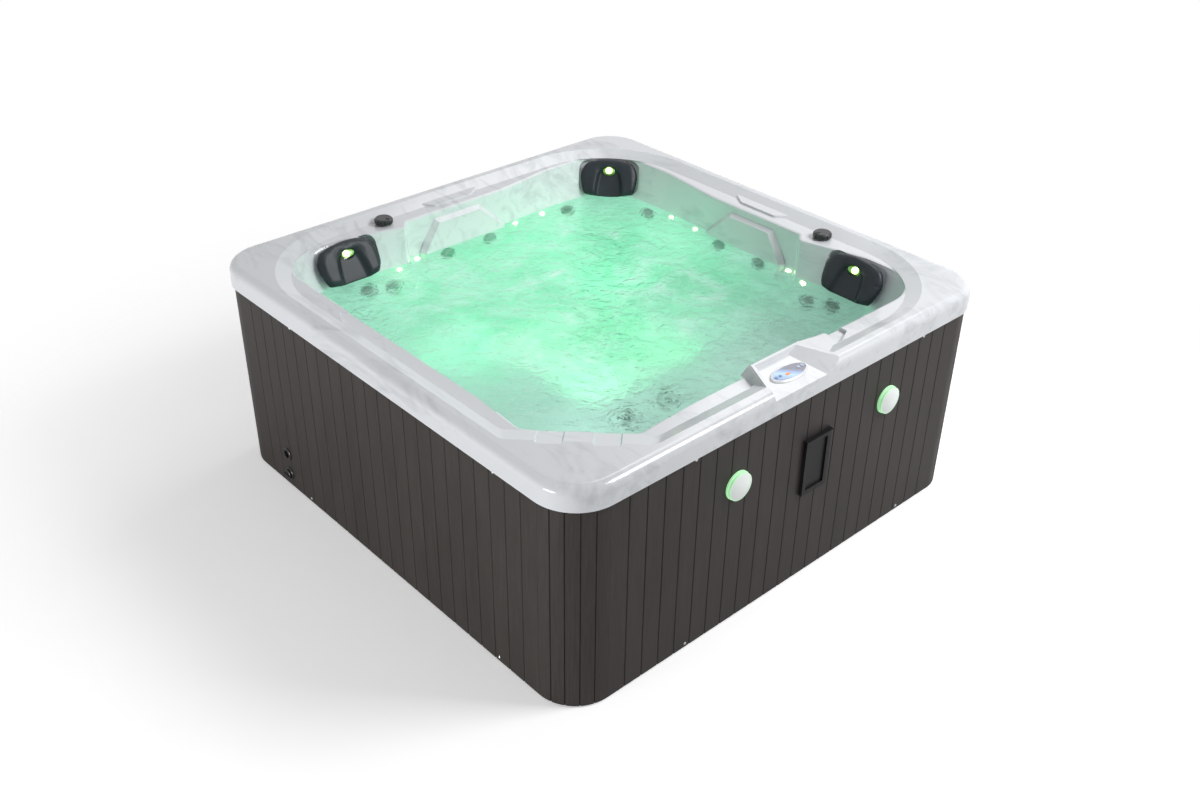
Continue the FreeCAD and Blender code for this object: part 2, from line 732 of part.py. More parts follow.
def dish(wall):
    """Hollow of the dish; with a wall thickness it is the material under it instead."""
    front = -HALF - 2.0 * SHELL_WALL
    wires = []
    for height, flare in ((-wall, 0.0), (DISH_HEIGHT, 1.0)):
        left = DISH_LEFT_FLARE * flare + wall
        back = DISH_CREST + left
        points = [dish_point(DISH_LEFT_FRONT - left, front, height),
                  dish_point(DISH_RIGHT_FRONT + DISH_RIGHT_FLARE_FRONT * flare + wall, front, height),
                  dish_point(DISH_RIGHT_BACK + DISH_RIGHT_FLARE_BACK * flare + wall, back, height),
                  dish_point(DISH_LEFT_BACK - left, back, height)]
        wires.append(Part.makePolygon(points + points[:1]))
    return stacked(wires)


def near_recesses():
    """Two shallow recesses down the slope in front of the near deck."""
    high_sum = -(2.0 * (HALF - BAND_WIDTH) - DECK_REACH)
    low_sum = -(2.0 * (HALF - BAND_WIDTH) - SLOPE_REACH - STEP_WIDTH)
    run = (low_sum - high_sum) / math.sqrt(2.0)
    slope = math.atan2(LEDGE_DROP, run)
    level = math.cos(slope) / math.sqrt(2.0)
    inward = Vector(level, level, -math.sin(slope))
    beside = Vector(1.0, -1.0, 0.0).normalize()
    lift = beside.cross(inward)
    wires = []
    for height in (-RECESS_DEPTH, LEDGE_DROP):
        half = RECESS_WIDTH / 2.0 + height
        points = [(-half, -2.0 * LEDGE_DROP), (half, -2.0 * LEDGE_DROP), (half, run + LEDGE_DROP),
                  (-half, run + LEDGE_DROP)]
        corners = [Vector(x, y, height) for x, y in points]
        wires.append(Part.makePolygon(corners + corners[:1]))
    tool = stacked(wires)
    middle = Vector(high_sum / 2.0, high_sum / 2.0, TUB_HEIGHT)
    return [placed(tool, middle + beside * (side * RECESS_WIDTH), lift, beside) for side in (-1.0, 1.0)]


# Places of the fittings in the shell

def lean_frame(point, out, lean):
    """Frame of a reclined face: its point, inward normal and level direction."""
    angle = math.radians(lean)
    normal = Vector(-out[0] * math.cos(angle), -out[1] * math.cos(angle), math.sin(angle))
    along = Vector(out[1], -out[0], 0.0)
    return point, normal, along


DIAGONAL = 1.0 / math.sqrt(2.0)
PILLOW_FRAMES = {
    "left": lean_frame(Vector(SIDE_PILLOW_ALONG, SIDE_PILLOW_OUT, PILLOW_LEVEL), (0.0, 1.0),
                       SIDE_PILLOW_LEAN),
    "back": lean_frame(Vector(BACK_PILLOW_OUT, BACK_PILLOW_OUT, PILLOW_LEVEL), (DIAGONAL, DIAGONAL),
                       BACK_PILLOW_LEAN),
    "right": lean_frame(Vector(SIDE_PILLOW_OUT, SIDE_PILLOW_ALONG, PILLOW_LEVEL), (1.0, 0.0),
                        SIDE_PILLOW_LEAN),
}
KNOB_PLACES = {"back": Vector(KNOB_ALONG, KNOB_OUT, LEDGE), "right": Vector(KNOB_OUT, KNOB_ALONG, LEDGE)}


def jet_frames():
    """Point, normal and level direction of every jet."""
    frames = []
    for along, depth in BACKREST_JETS:
        level = WATER_LEVEL - depth
        out, lean = backrest_face(level)
        frames.append(lean_frame(Vector(out, along, level), (1.0, 0.0), lean))
        frames.append(lean_frame(Vector(along, out, level), (0.0, 1.0), lean))
    for along, depth in WALL_JETS:
        frames.append(wall_frame(WALL_START, along, (1.0, 0.0), WATER_LEVEL - depth))
        frames.append(wall_frame(along, WALL_START, (0.0, 1.0), WATER_LEVEL - depth))
    for x, y in BENCH_JETS:
        frames.append((Vector(x, y, SEAT_LEVEL), UP, ACROSS))
    return frames


def light_frames():
    """Point, normal and level direction of every waterline light."""
    frames = []
    for along in LIGHT_PLACES:
        frames.append(wall_frame(WALL_START, along, (1.0, 0.0), LIGHT_LEVEL))
        frames.append(wall_frame(along, WALL_START, (0.0, 1.0), LIGHT_LEVEL))
    return frames


def niche(wall):
    """Flat seats for the pillows, as a list of hollows."""
    half_width = PILLOW_WIDTH / 2.0 + NICHE_MARGIN
    half_height = PILLOW_HEIGHT / 2.0 + NICHE_MARGIN
    points = [(-half_width, -half_height), (half_width, -half_height), (half_width, half_height),
              (-half_width, half_height)]
    tool = prism(points, [NICHE_CORNER] * 4, -wall, NICHE_DEPTH - 6.0 * wall, wall)
    return [placed(tool, point, normal, along) for point, normal, along in PILLOW_FRAMES.values()]


def footwell_frame(x, y, direction, level):
    """Point and inward normal on a footwell wall."""
    top = SEAT_LEVEL + POCKET_OVERLAP
    low = FOOTWELL_FLOOR + FOOTWELL_FOOT
    share = (top - level) / (top - low)
    edge = FOOTWELL_NEAR + FOOTWELL_DRAFT * share
    tilt = math.atan2(FOOTWELL_DRAFT, top - low)
    if direction[0] != 0.0:
        return Vector(edge, y, level), Vector(math.cos(tilt), 0.0, math.sin(tilt)), Vector(0.0, 1.0, 0.0)
    return Vector(x, edge, level), Vector(0.0, math.cos(tilt), math.sin(tilt)), Vector(1.0, 0.0, 0.0)


FILTER_FRAME = footwell_frame(0.0, 0.0, (-1.0, 0.0), FILTER_LEVEL)
MAIN_LIGHT_FRAME = footwell_frame(0.0, 0.0, (0.0, -1.0), MAIN_LIGHT_LEVEL)
SUCTION_FRAMES = [footwell_frame(-SUCTION_SPREAD, 0.0, (0.0, -1.0), SUCTION_LEVEL),
                  footwell_frame(SUCTION_SPREAD, 0.0, (0.0, -1.0), SUCTION_LEVEL)]


def bore(frame, radius, depth=6.0 * SHELL_WALL):
    """Round cutter through the shell at a frame."""
    point, normal = frame[:2]
    return rod(radius, point - normal * depth, normal, 2.0 * depth)


def build_shell():
    lip_points = square_full(HALF)
    rim = prism(lip_points, [LIP_CORNER] * 4, LIP_FOOT, TUB_HEIGHT)
    top_edges = [edge for edge in rim.Edges if edge.BoundBox.ZMin > TUB_HEIGHT - 1.0]
    rim = rim.makeFillet(LIP_ROUND, top_edges)
    hollow = prism(lip_points, [LIP_CORNER] * 4, LIP_FOOT - 1.0, TUB_HEIGHT - SHELL_WALL, -SHELL_WALL)
    hollow_edges = [edge for edge in hollow.Edges if edge.BoundBox.ZMin > TUB_HEIGHT - SHELL_WALL - 1.0]
    hollow = hollow.makeFillet(LIP_ROUND - SHELL_WALL, hollow_edges)
    outside = [rim_pocket(SHELL_WALL), low_ledge(SHELL_WALL), swapped(low_ledge(SHELL_WALL)),
               basin(SHELL_WALL)]
    outside += seats(SHELL_WALL) + [solid.common(basin_reach()) for solid in niche(SHELL_WALL)]
    body = rim.cut(hollow).fuse(outside)
    inside = [rim_pocket(0.0), low_ledge(0.0), swapped(low_ledge(0.0)), basin(0.0)] + seats(0.0)
    body = body.cut(inside)
    dish_under = dish(SHELL_WALL).common(rim)
    raised = [ledge_pad(), swapped(ledge_pad()), backrest(), swapped(backrest()), pod(), dish_under]
    body = body.fuse(raised)
    cuts = near_recesses() + [dish(0.0)] + niche(0.0)
    body = body.cut(cuts)
    holes = [bore(frame, JET_BODY + CLEAR) for frame in jet_frames()]
    holes += [bore(frame, LIGHT_BODY + CLEAR) for frame in light_frames()]
    for place in KNOB_PLACES.values():
        holes.append(bore((place, UP, ACROSS), VALVE_RADIUS / 2.0 + CLEAR))
    holes.append(bore(FILTER_FRAME, FILTER_RADIUS + CLEAR))
    holes.append(bore(MAIN_LIGHT_FRAME, MAIN_LIGHT_BODY + CLEAR))
    holes += [bore(frame, PIPE_RADIUS + CLEAR) for frame in SUCTION_FRAMES]
    drain = Vector(FLOOR_DRAIN_PLACE[0], FLOOR_DRAIN_PLACE[1], FOOTWELL_FLOOR)
    holes.append(bore((drain, UP, ACROSS), PIPE_RADIUS + CLEAR))
    panel_well = Part.makeBox(BOX_LENGTH + 2.0 * CLEAR, BOX_WIDTH + 2.0 * CLEAR, 2.0 * BOX_DEPTH,
                              Vector(-BOX_LENGTH / 2.0 - CLEAR, -BOX_WIDTH / 2.0 - CLEAR, -1.5 * BOX_DEPTH))
    holes.append(placed(panel_well, dish_point(PANEL_MIDDLE, PANEL_PLACE), DISH_NORMAL, ACROSS))
    return one_solid(body.cut(holes))


def square_full(half):
    return [(-half, -half), (half, -half), (half, half), (-half, half)]


def basin_reach():
    """Room that the outside of a pillow niche may fill."""
    half = HALF - BAND_WIDTH
    return box(-half, half, -half, half, SEAT_LEVEL, TUB_HEIGHT)


# Cabinet

def groove(height):
    """Upright cutter for one seam, pointing into the face y = 0 from outside."""
    half = GROOVE_WIDTH / 2.0
    points = [Vector(-half, -0.5, 0.0), Vector(half, -0.5, 0.0), Vector(0.0, GROOVE_DEPTH, 0.0)]
    return Part.Face(Part.makePolygon(points + points[:1])).extrude(Vector(0.0, 0.0, height))


def side_panel():
    """Front panel; the others are the same panel turned."""
    length = 2.0 * (CABINET_HALF - CABINET_CORNER) - PANEL_GAP
    height = PANEL_TOP - PANEL_LIFT
    panel = box(-length / 2.0, length / 2.0, -CABINET_HALF, -PANEL_BACK, PANEL_LIFT, PANEL_TOP)
    count = int(round(length / PLANK_PITCH))
    cuts = []
    for number in range(1, count):
        place = -length / 2.0 + number * length / count
        cut = groove(height + 2.0)
        cut.translate(Vector(place, -CABINET_HALF, PANEL_LIFT - 1.0))
        cuts.append(cut)
    return panel.cut(cuts)


def corner_panel():
    """Near corner panel; the others are the same panel turned."""
    middle = CABINET_HALF - CABINET_CORNER
    height = PANEL_TOP - PANEL_LIFT
    centre = Vector(-middle, -middle, PANEL_LIFT)
    panel = Part.makeCylinder(CABINET_CORNER, height, centre, UP, 90.0)
    panel.rotate(centre, UP, 180.0)
    panel = panel.cut(rod(CABINET_CORNER - PANEL_THICK, centre, UP, height))
    cuts = []
    for number in range(1, CORNER_SLATS):
        cut = groove(height + 2.0)
        cut.translate(Vector(-middle, -CABINET_HALF, PANEL_LIFT - 1.0))
        cut.rotate(centre, UP, -90.0 * number / CORNER_SLATS)
        cuts.append(cut)
    return panel.cut(cuts)


def screw():
    """Panel screw with its head on the plane z = 0 and its shank below."""
    return turned([(0.0, -SCREW_LENGTH), (SCREW_SHANK, -SCREW_LENGTH), (SCREW_SHANK, 0.0), (SCREW_HEAD, 0.0),
                   (SCREW_HEAD, SCREW_HEAD_HEIGHT * 0.5), (SCREW_HEAD * 0.6, SCREW_HEAD_HEIGHT),
                   (0.0, SCREW_HEAD_HEIGHT)])


def turned_about(shape, quarter):
    """A piece of the front side turned to another side."""
    copy = shape.copy()
    copy.rotate(Vector(0.0, 0.0, 0.0), UP, 90.0 * quarter)
    return copy


def screw_places():
    return [Vector(along, -CABINET_HALF, level) for along in (SCREW_LEFT, SCREW_RIGHT)
            for level in (SCREW_TOP, SCREW_LOW)]


def screws_and_holes():
    """All panel screws, and the cutters for their holes by side."""
    screws = []
    holes = []
    front = Vector(0.0, -1.0, 0.0)
    for quarter in range(4):
        side = []
        for place in screw_places():
            screws.append(turned_about(placed(screw(), place, front, ACROSS), quarter))
            cut = rod(SCREW_SHANK + FIT, place + front * 5.0, front * -1.0, SCREW_LENGTH + 6.0)
            side.append(turned_about(cut, quarter))
        holes.append(side)
    return screws, holes


def base_pan():
    points = square_full(PANEL_BACK)
    corner = CABINET_CORNER - PANEL_THICK
    pan = prism(points, [corner] * 4, 0.0, PAN_HEIGHT)
    return pan.cut(prism(points, [corner] * 4, PAN_FLOOR, PAN_HEIGHT + 1.0, -PAN_WALL))


def eight_sided(half, cut):
    """Square outline with all four corners cut off."""
    inner = half - cut
    return [(-inner, -half), (inner, -half), (half, -inner), (half, inner), (inner, half), (-inner, half),
            (-half, inner), (-half, -inner)]


def flat_ring(half, cut, width, low, high):
    """Eight-sided ring of square timber bars."""
    outer = [Vector(x, y, low) for x, y in eight_sided(half, cut)]
    inner = [Vector(x, y, low) for x, y in grown(eight_sided(half, cut), -width)]
    outer_face = Part.Face(Part.makePolygon(outer + outer[:1]))
    inner_face = Part.Face(Part.makePolygon(inner + inner[:1]))
    return outer_face.cut(inner_face).extrude(Vector(0.0, 0.0, high - low))


def support_frame():
    low_ring = flat_ring(FRAME_HALF, FRAME_CUT, FRAME_BAR, PAN_FLOOR, PAN_FLOOR + LOW_RING_HEIGHT)
    top_width = FRAME_BAR + PANEL_BACK - FRAME_HALF
    top_ring = flat_ring(PANEL_BACK, FRAME_CUT, top_width, TOP_RING_FOOT, PANEL_TOP)
    rim_foot = TUB_HEIGHT - SHELL_WALL
    upstand = flat_ring(HALF - UPSTAND_INSET, FRAME_CUT, UPSTAND_WIDTH, PANEL_TOP, rim_foot)
    room = box(DISH_LEFT_FRONT - 60.0, DISH_RIGHT_FRONT + DISH_RIGHT_FLARE_FRONT + 60.0, -HALF, -HALF / 2.0,
               TOP_RING_FOOT + FRAME_BAR, TUB_HEIGHT)
    posts = []
    for quarter in range(4):
        for along in (-POST_SPREAD, 0.0, POST_SPREAD):
            half = FRAME_BAR / 2.0
            post = box(along - half, along + half, -FRAME_HALF, -FRAME_HALF + FRAME_BAR,
                       PAN_FLOOR + LOW_RING_HEIGHT, TOP_RING_FOOT)
            posts.append(turned_about(post, quarter))
    return low_ring.fuse([top_ring, upstand.cut(room)] + posts)


# Pillows and their nozzles

PILLOW_ROWS = [(-1.0, 0.62, 0.34, 0.0), (-0.92, 0.84, 0.74, 0.0), (-0.62, 0.97, 1.0, 0.1),
               (0.0, 1.0, PILLOW_CROWN / PILLOW_BOLSTER, 1.0), (0.62, 0.97, 1.0, 0.1),
               (0.92, 0.84, 0.74, 0.0),
               (1.0, 0.62, 0.34, 0.0)]


def pillow_front(rise, bulge, scoop):
    """Height of a pillow's front at a share of its half height, scooped out below its crown."""
    crown = bulge * (1.0 - 0.8 * rise * rise)
    hollow = scoop * min(max((0.5 - rise) / 0.6, 0.0), 1.0) * (1.0 - rise * rise)
    return crown - hollow


def pillow_section(along, height, bulge, scoop):
    """Section across a pillow: flat back, short edges and a bulged front of two arcs."""
    half = height / 2.0
    rises = (1.0, 0.62, 0.25, -0.35, -1.0)
    front = [Vector(along, rise * half, pillow_front(rise, bulge, scoop)) for rise in rises]
    top = Vector(along, half, 0.0)
    foot = Vector(along, -half, 0.0)
    return Part.Wire([Part.LineSegment(foot, top).toShape(),
                      Part.LineSegment(top, front[0]).toShape(),
                      Part.Arc(front[0], front[1], front[2]).toShape(),
                      Part.Arc(front[2], front[3], front[4]).toShape(),
                      Part.LineSegment(front[4], foot).toShape()])


def pillow():
    """Headrest with two bolsters that meet over a scooped middle, back on z = 0."""
    half = PILLOW_WIDTH / 2.0
    sections = [pillow_section(along * half, height * PILLOW_HEIGHT, bulge * PILLOW_BOLSTER,
                               scoop * PILLOW_SCOOP)
                for along, height, bulge, scoop in PILLOW_ROWS]
    body = Part.makeLoft(sections, True, False)
    hole = oval_prism(NOZZLE_LONG + CLEAR, NOZZLE_SHORT + CLEAR, -1.0, 2.0 * PILLOW_BOLSTER)
    hole.translate(Vector(0.0, NOZZLE_RISE, 0.0))
    return body.cut(hole)


def nozzle():
    """Oval lit nozzle that stands on the shell and comes through the pillow."""
    face = pillow_front(2.0 * NOZZLE_RISE / PILLOW_HEIGHT, PILLOW_CROWN, PILLOW_SCOOP)
    shoulder = face + NOZZLE_PROUD / 2.0
    body = oval_prism(NOZZLE_LONG, NOZZLE_SHORT, 0.0, shoulder)
    dome = stacked([oval(NOZZLE_LONG, NOZZLE_SHORT, shoulder),
                    oval(NOZZLE_LONG * 0.7, NOZZLE_SHORT * 0.6, shoulder + NOZZLE_PROUD / 2.0)])
    whole_nozzle = body.fuse(dome)
    whole_nozzle.translate(Vector(0.0, NOZZLE_RISE, 0.0))
    return whole_nozzle


# Rim knobs

def knob():
    """Scalloped knob with a pointer and a stem, drawn about the ledge plane z = 0."""
    low = KNOB_LIFT
    high = low + KNOB_HEIGHT
    crown = turned([(0.0, low), (KNOB_RADIUS, low), (KNOB_RADIUS, high - 5.0), (KNOB_RADIUS - 6.0, high),
                    (0.0, high)])
    cuts = []
    for number in range(KNOB_SCALLOPS):
        angle = 2.0 * math.pi * (number + 0.5) / KNOB_SCALLOPS
        reach = KNOB_RADIUS + KNOB_SCALLOP * 0.55
        place = Vector(reach * math.cos(angle), reach * math.sin(angle), low - 1.0)
        cuts.append(rod(KNOB_SCALLOP, place, UP, KNOB_HEIGHT + 2.0))
    pointer = box(KNOB_RADIUS * 0.35, KNOB_RADIUS * 0.8, -2.5, 2.5, high - 1.0, high + 2.0)
    stem = rod(STEM_RADIUS, Vector(0.0, 0.0, -VALVE_LENGTH / 3.0), UP, VALVE_LENGTH / 3.0 + low + 1.0)
    return crown.cut(cuts).fuse([pointer, stem])


def valve():
    """Valve body under the ledge with a collar on top and a bore for the stem."""
    neck = VALVE_RADIUS / 2.0
    body = turned([(0.0, -VALVE_LENGTH), (VALVE_RADIUS, -VALVE_LENGTH), (VALVE_RADIUS, -SHELL_WALL - CLEAR),
                   (neck, -SHELL_WALL - CLEAR), (neck, 0.0), (KNOB_NECK, 0.0), (KNOB_NECK, KNOB_LIFT - CLEAR),
                   (0.0, KNOB_LIFT - CLEAR)])
    reach = VALVE_LENGTH / 3.0
    port = rod(PIPE_RADIUS * 0.6, Vector(0.0, 0.0, -VALVE_LENGTH * 0.6), ACROSS * -1.0, VALVE_RADIUS * 1.8)
    return body.fuse(port).cut(rod(STEM_RADIUS + FIT, Vector(0.0, 0.0, -reach - CLEAR), UP, 2.0 * reach))


# Control panel

def control_housing():
    """Bezel on the dish floor with a hollow box behind it."""
    bezel = stacked([oval(PANEL_LONG, PANEL_SHORT, 0.0), oval(PANEL_LONG, PANEL_SHORT, PANEL_RISE * 0.4),
                     oval(PANEL_LONG - 5.0, PANEL_SHORT - 5.0, PANEL_RISE)])
    wall = 2.5
    back = box(-BOX_LENGTH / 2.0, BOX_LENGTH / 2.0, -BOX_WIDTH / 2.0, BOX_WIDTH / 2.0, -BOX_DEPTH, 0.0)
    room = box(-BOX_LENGTH / 2.0 + wall, BOX_LENGTH / 2.0 - wall, -BOX_WIDTH / 2.0 + wall,
               BOX_WIDTH / 2.0 - wall, -BOX_DEPTH + wall, BUTTON_FOOT - BUTTON_TRAVEL - wall)
    recess = oval_prism(FACE_LONG + CLEAR, FACE_SHORT + CLEAR, PANEL_RISE - FACE_THICK, PANEL_RISE + 1.0)
    return bezel.fuse(back).cut([room, recess] + button_holes(-BOX_DEPTH / 2.0, PANEL_RISE + 1.0))


def button_holes(low, high):
    return [rod(BUTTON_RADIUS + FIT, Vector(along, 0.0, low), UP, high - low) for along in BUTTON_ALONG]


def control_face():
    plate = oval_prism(FACE_LONG, FACE_SHORT, PANEL_RISE - FACE_THICK, PANEL_RISE)
    return plate.cut(button_holes(0.0, PANEL_RISE + 1.0))


def button(along):
    return rod(BUTTON_RADIUS, Vector(along, 0.0, BUTTON_FOOT), UP, BUTTON_LENGTH + BUTTON_PROUD)


def on_dish(shape):
    return placed(shape, dish_point(PANEL_MIDDLE, PANEL_PLACE), DISH_NORMAL, ACROSS)


# Cabinet lamps, cover and fittings

def lamp_base():
    """Clear glow ring on the panel, with a stub through it for the lead."""
    rim = LAMP_RADIUS - 2.0
    return turned([(0.0, -PANEL_THICK - 4.0), (LAMP_STUB, -PANEL_THICK - 4.0), (LAMP_STUB, 0.0),
                   (LAMP_RADIUS, 0.0), (LAMP_RADIUS, LAMP_BASE), (rim, LAMP_BASE),
                   (rim, LAMP_BASE + LAMP_BAND),
                   (0.0, LAMP_BASE + LAMP_BAND)])


def lamp_lens():
    """Frosted dome on the glow ring."""
    low = LAMP_BASE + LAMP_BAND
    rim = LAMP_RADIUS - 4.0
    radius = (rim * rim + LAMP_DOME * LAMP_DOME) / (2.0 * LAMP_DOME)
    ball = Part.makeSphere(radius, Vector(0.0, 0.0, low + LAMP_DOME - radius))
    return ball.common(rod(LAMP_RADIUS, Vector(0.0, 0.0, low), UP, LAMP_DOME + 1.0))


def power_inlet():
    """Flanged inlet with a round socket and three pins."""
    body = turned([(0.0, -INLET_BODY_LENGTH), (INLET_BODY, -INLET_BODY_LENGTH), (INLET_BODY, 0.0),
                   (INLET_RADIUS, 0.0), (INLET_RADIUS, INLET_RISE * 0.6), (INLET_RADIUS - 3.0, INLET_RISE),
                   (INLET_BODY - 4.0, INLET_RISE), (INLET_BODY - 4.0, -INLET_RISE), (0.0, -INLET_RISE)])
    pins = []
    for number in range(3):
        angle = 2.0 * math.pi * number / 3.0 + math.pi / 2.0
        place = Vector(7.0 * math.cos(angle), 7.0 * math.sin(angle), -INLET_RISE)
        pins.append(rod(2.0, place, UP, INLET_RISE))
    return body.fuse(pins)


def drain_outlet():
    """Flanged drain fitting with an open pipe through it and a spigot for the cap."""
    return turned([(DRAIN_PIPE - 3.0, -INLET_BODY_LENGTH), (DRAIN_PIPE, -INLET_BODY_LENGTH),
                   (DRAIN_PIPE, 0.0),
                   (INLET_RADIUS, 0.0), (INLET_RADIUS, INLET_RISE * 0.6), (INLET_RADIUS - 3.0, INLET_RISE),
                   (DRAIN_PIPE, INLET_RISE), (DRAIN_PIPE, INLET_RISE + CAP_HEIGHT * 0.6),
                   (DRAIN_PIPE - 3.0, INLET_RISE + CAP_HEIGHT * 0.6)])


def drain_cap():
    """Twist cap with a grip bar that runs on the spigot of the drain fitting."""
    low = INLET_RISE + CLEAR
    high = INLET_RISE + CAP_HEIGHT
    deep = INLET_RISE + CAP_HEIGHT * 0.6 + CLEAR
    cap = turned([(DRAIN_PIPE + FIT, low), (CAP_RADIUS, low), (CAP_RADIUS, high - 2.0),
                  (CAP_RADIUS - 2.0, high),
                  (0.0, high), (0.0, deep), (DRAIN_PIPE + FIT, deep)])
    grip = box(-CAP_RADIUS * 0.75, CAP_RADIUS * 0.75, -2.5, 2.5, high - 1.0, high + 5.0)
    return cap.fuse(grip)


def vent_cover():
    """Framed cover with a recessed middle and a thin top flange."""
    front = -CABINET_HALF
    frame = box(COVER_LEFT, COVER_RIGHT, front - COVER_THICK, front, COVER_FOOT, COVER_TOP)
    middle = box(COVER_LEFT + COVER_STILE, COVER_RIGHT - COVER_STILE, front - COVER_THICK - 1.0,
                 front - COVER_THICK + COVER_RECESS, COVER_FOOT + COVER_STILE, COVER_TOP - COVER_STILE)
    flange = box(COVER_LEFT - COVER_FLANGE, COVER_RIGHT + COVER_FLANGE,
                 front - COVER_THICK - COVER_FLANGE, front,
                 COVER_TOP, COVER_TOP + COVER_FLANGE * 0.6)
    return frame.cut(middle).fuse(flange)


# Jets and lights

def jet_body():
    """Wall fitting with a closed sleeve behind and a barb on each side."""
    deep = JET_BARREL_LENGTH + JET_GAP
    sleeve = turned([(0.0, -JET_BODY_LENGTH), (JET_BODY, -JET_BODY_LENGTH), (JET_BODY, 0.0),
                     (JET_FLANGE, 0.0),
                     (JET_FLANGE - 1.0, JET_FLANGE_RISE), (JET_BARREL + FIT, JET_FLANGE_RISE),
                     (JET_BARREL + FIT, -deep), (0.0, -deep)])
    low = -JET_BODY_LENGTH + JET_BARB + 3.0
    barb = rod(JET_BARB, Vector(-JET_BODY - 22.0, 0.0, low), ACROSS, 2.0 * (JET_BODY + 22.0))
    return sleeve.fuse(barb)


def jet_face():
    """Turning face: a lobed disc on a barrel, with an off-centre nozzle."""
    low = JET_FLANGE_RISE + JET_GAP
    high = low + JET_FACE_RISE
    points = []
    for number in range(JET_LOBES):
        angle = 2.0 * math.pi * number / JET_LOBES
        reach = JET_FACE if number % 2 == 0 else JET_FACE * 0.9
        points.append((reach * math.cos(angle), reach * math.sin(angle)))
    wires = []
    for level, share in ((low, 1.0), (high - 4.0, 1.0), (high, 0.8)):
        ring = [Vector(x * share, y * share, level) for x, y in points]
        wires.append(Part.makePolygon(ring + ring[:1]))
    disc = stacked(wires)
    barrel = rod(JET_BARREL, Vector(0.0, 0.0, -JET_BARREL_LENGTH), UP, JET_BARREL_LENGTH + low + 1.0)
    opening = rod(JET_NOZZLE, Vector(JET_NOZZLE, 0.0, high - JET_FACE_RISE * 0.8), UP, JET_FACE_RISE)
    return disc.fuse(barrel).cut(opening)


def waterline_light():
    return turned([(0.0, -LIGHT_BODY_LENGTH), (LIGHT_BODY, -LIGHT_BODY_LENGTH), (LIGHT_BODY, 0.0),
                   (LIGHT_RADIUS, 0.0), (LIGHT_RADIUS * 0.7, LIGHT_RISE), (0.0, LIGHT_RISE)])


def main_light_body():
    inner = MAIN_LIGHT_BODY - 5.0
    return turned([(0.0, -MAIN_LIGHT_DEPTH), (MAIN_LIGHT_BODY, -MAIN_LIGHT_DEPTH), (MAIN_LIGHT_BODY, 0.0),
                   (MAIN_LIGHT_RADIUS, 0.0), (MAIN_LIGHT_RADIUS, 3.0), (inner, 3.0),
                   (inner, -MAIN_LIGHT_DEPTH + 5.0), (0.0, -MAIN_LIGHT_DEPTH + 5.0)])


def main_light_lens():
    return turned([(0.0, 3.0), (MAIN_LIGHT_RADIUS - 2.0, 3.0),
                   (MAIN_LIGHT_RADIUS * 0.8, MAIN_LIGHT_RISE * 0.75),
                   (MAIN_LIGHT_RADIUS * 0.4, MAIN_LIGHT_RISE), (0.0, MAIN_LIGHT_RISE)])


def suction_cover():
    """Domed cover with slots, on a spigot that takes the suction pipe."""
    cover = turned([(0.0, 0.0), (SUCTION_RADIUS, 0.0), (SUCTION_RADIUS, 3.0),
                    (SUCTION_RADIUS * 0.7, SUCTION_RISE), (0.0, SUCTION_RISE)])
    slots = []
    for number in (-2, -1, 0, 1, 2):
        place = number * SUCTION_RADIUS * 0.22
        slots.append(box(place - 2.0, place + 2.0, -SUCTION_RADIUS * 0.5, SUCTION_RADIUS * 0.5, 2.0,
                         SUCTION_RISE + 1.0))
    return cover.cut(slots)


def filter_canister():
    inner = FILTER_RADIUS - FILTER_WALL
    return turned([(0.0, -FILTER_LENGTH), (FILTER_RADIUS, -FILTER_LENGTH), (FILTER_RADIUS, 0.0),
                   (FILTER_COVER - 4.0, 0.0), (FILTER_COVER - 4.0, 3.0), (inner, 3.0),
                   (inner, -FILTER_LENGTH + FILTER_WALL), (0.0, -FILTER_LENGTH + FILTER_WALL)])


def filter_cartridge():
    """Pleated cartridge that stands on the end of the canister."""
    low = -FILTER_LENGTH + FILTER_WALL
    points = []
    for number in range(2 * CARTRIDGE_PLEATS):
        angle = math.pi * number / CARTRIDGE_PLEATS
        reach = CARTRIDGE_RADIUS if number % 2 == 0 else CARTRIDGE_RADIUS * 0.82
        points.append(Vector(reach * math.cos(angle), reach * math.sin(angle), low + 12.0))
    pleat_face = Part.Face(Part.makePolygon(points + points[:1]))
    pleats = pleat_face.extrude(Vector(0.0, 0.0, CARTRIDGE_LENGTH - 24.0))
    ends = [rod(CARTRIDGE_RADIUS + 2.0, Vector(0.0, 0.0, low), UP, 12.0),
            rod(CARTRIDGE_RADIUS + 2.0, Vector(0.0, 0.0, low + CARTRIDGE_LENGTH - 12.0), UP, 12.0)]
    core = rod(CARTRIDGE_RADIUS * 0.4, Vector(0.0, 0.0, low - 1.0), UP, CARTRIDGE_LENGTH + 2.0)
    return pleats.fuse(ends).cut(core)


def filter_cover():
    """Slotted cover over the canister mouth."""
    cover = turned([(0.0, 3.0), (FILTER_COVER, 3.0), (FILTER_COVER, 8.0), (FILTER_COVER - 8.0, 14.0),
                    (0.0, 14.0)])
    slots = []
    for number in (-2, -1, 0, 1, 2):
        place = number * FILTER_COVER * 0.28
        slots.append(box(-FILTER_COVER * 0.5, FILTER_COVER * 0.5, place - 4.0, place + 4.0, 2.0, 15.0))
    return cover.cut(slots)


def floor_drain():
    body = turned([(0.0, -34.0), (PIPE_RADIUS, -34.0), (PIPE_RADIUS, 0.0), (FLOOR_DRAIN_RADIUS, 0.0),
                   (FLOOR_DRAIN_RADIUS, 2.0), (FLOOR_DRAIN_RADIUS * 0.6, 5.0), (0.0, 5.0)])
    return body


# Equipment

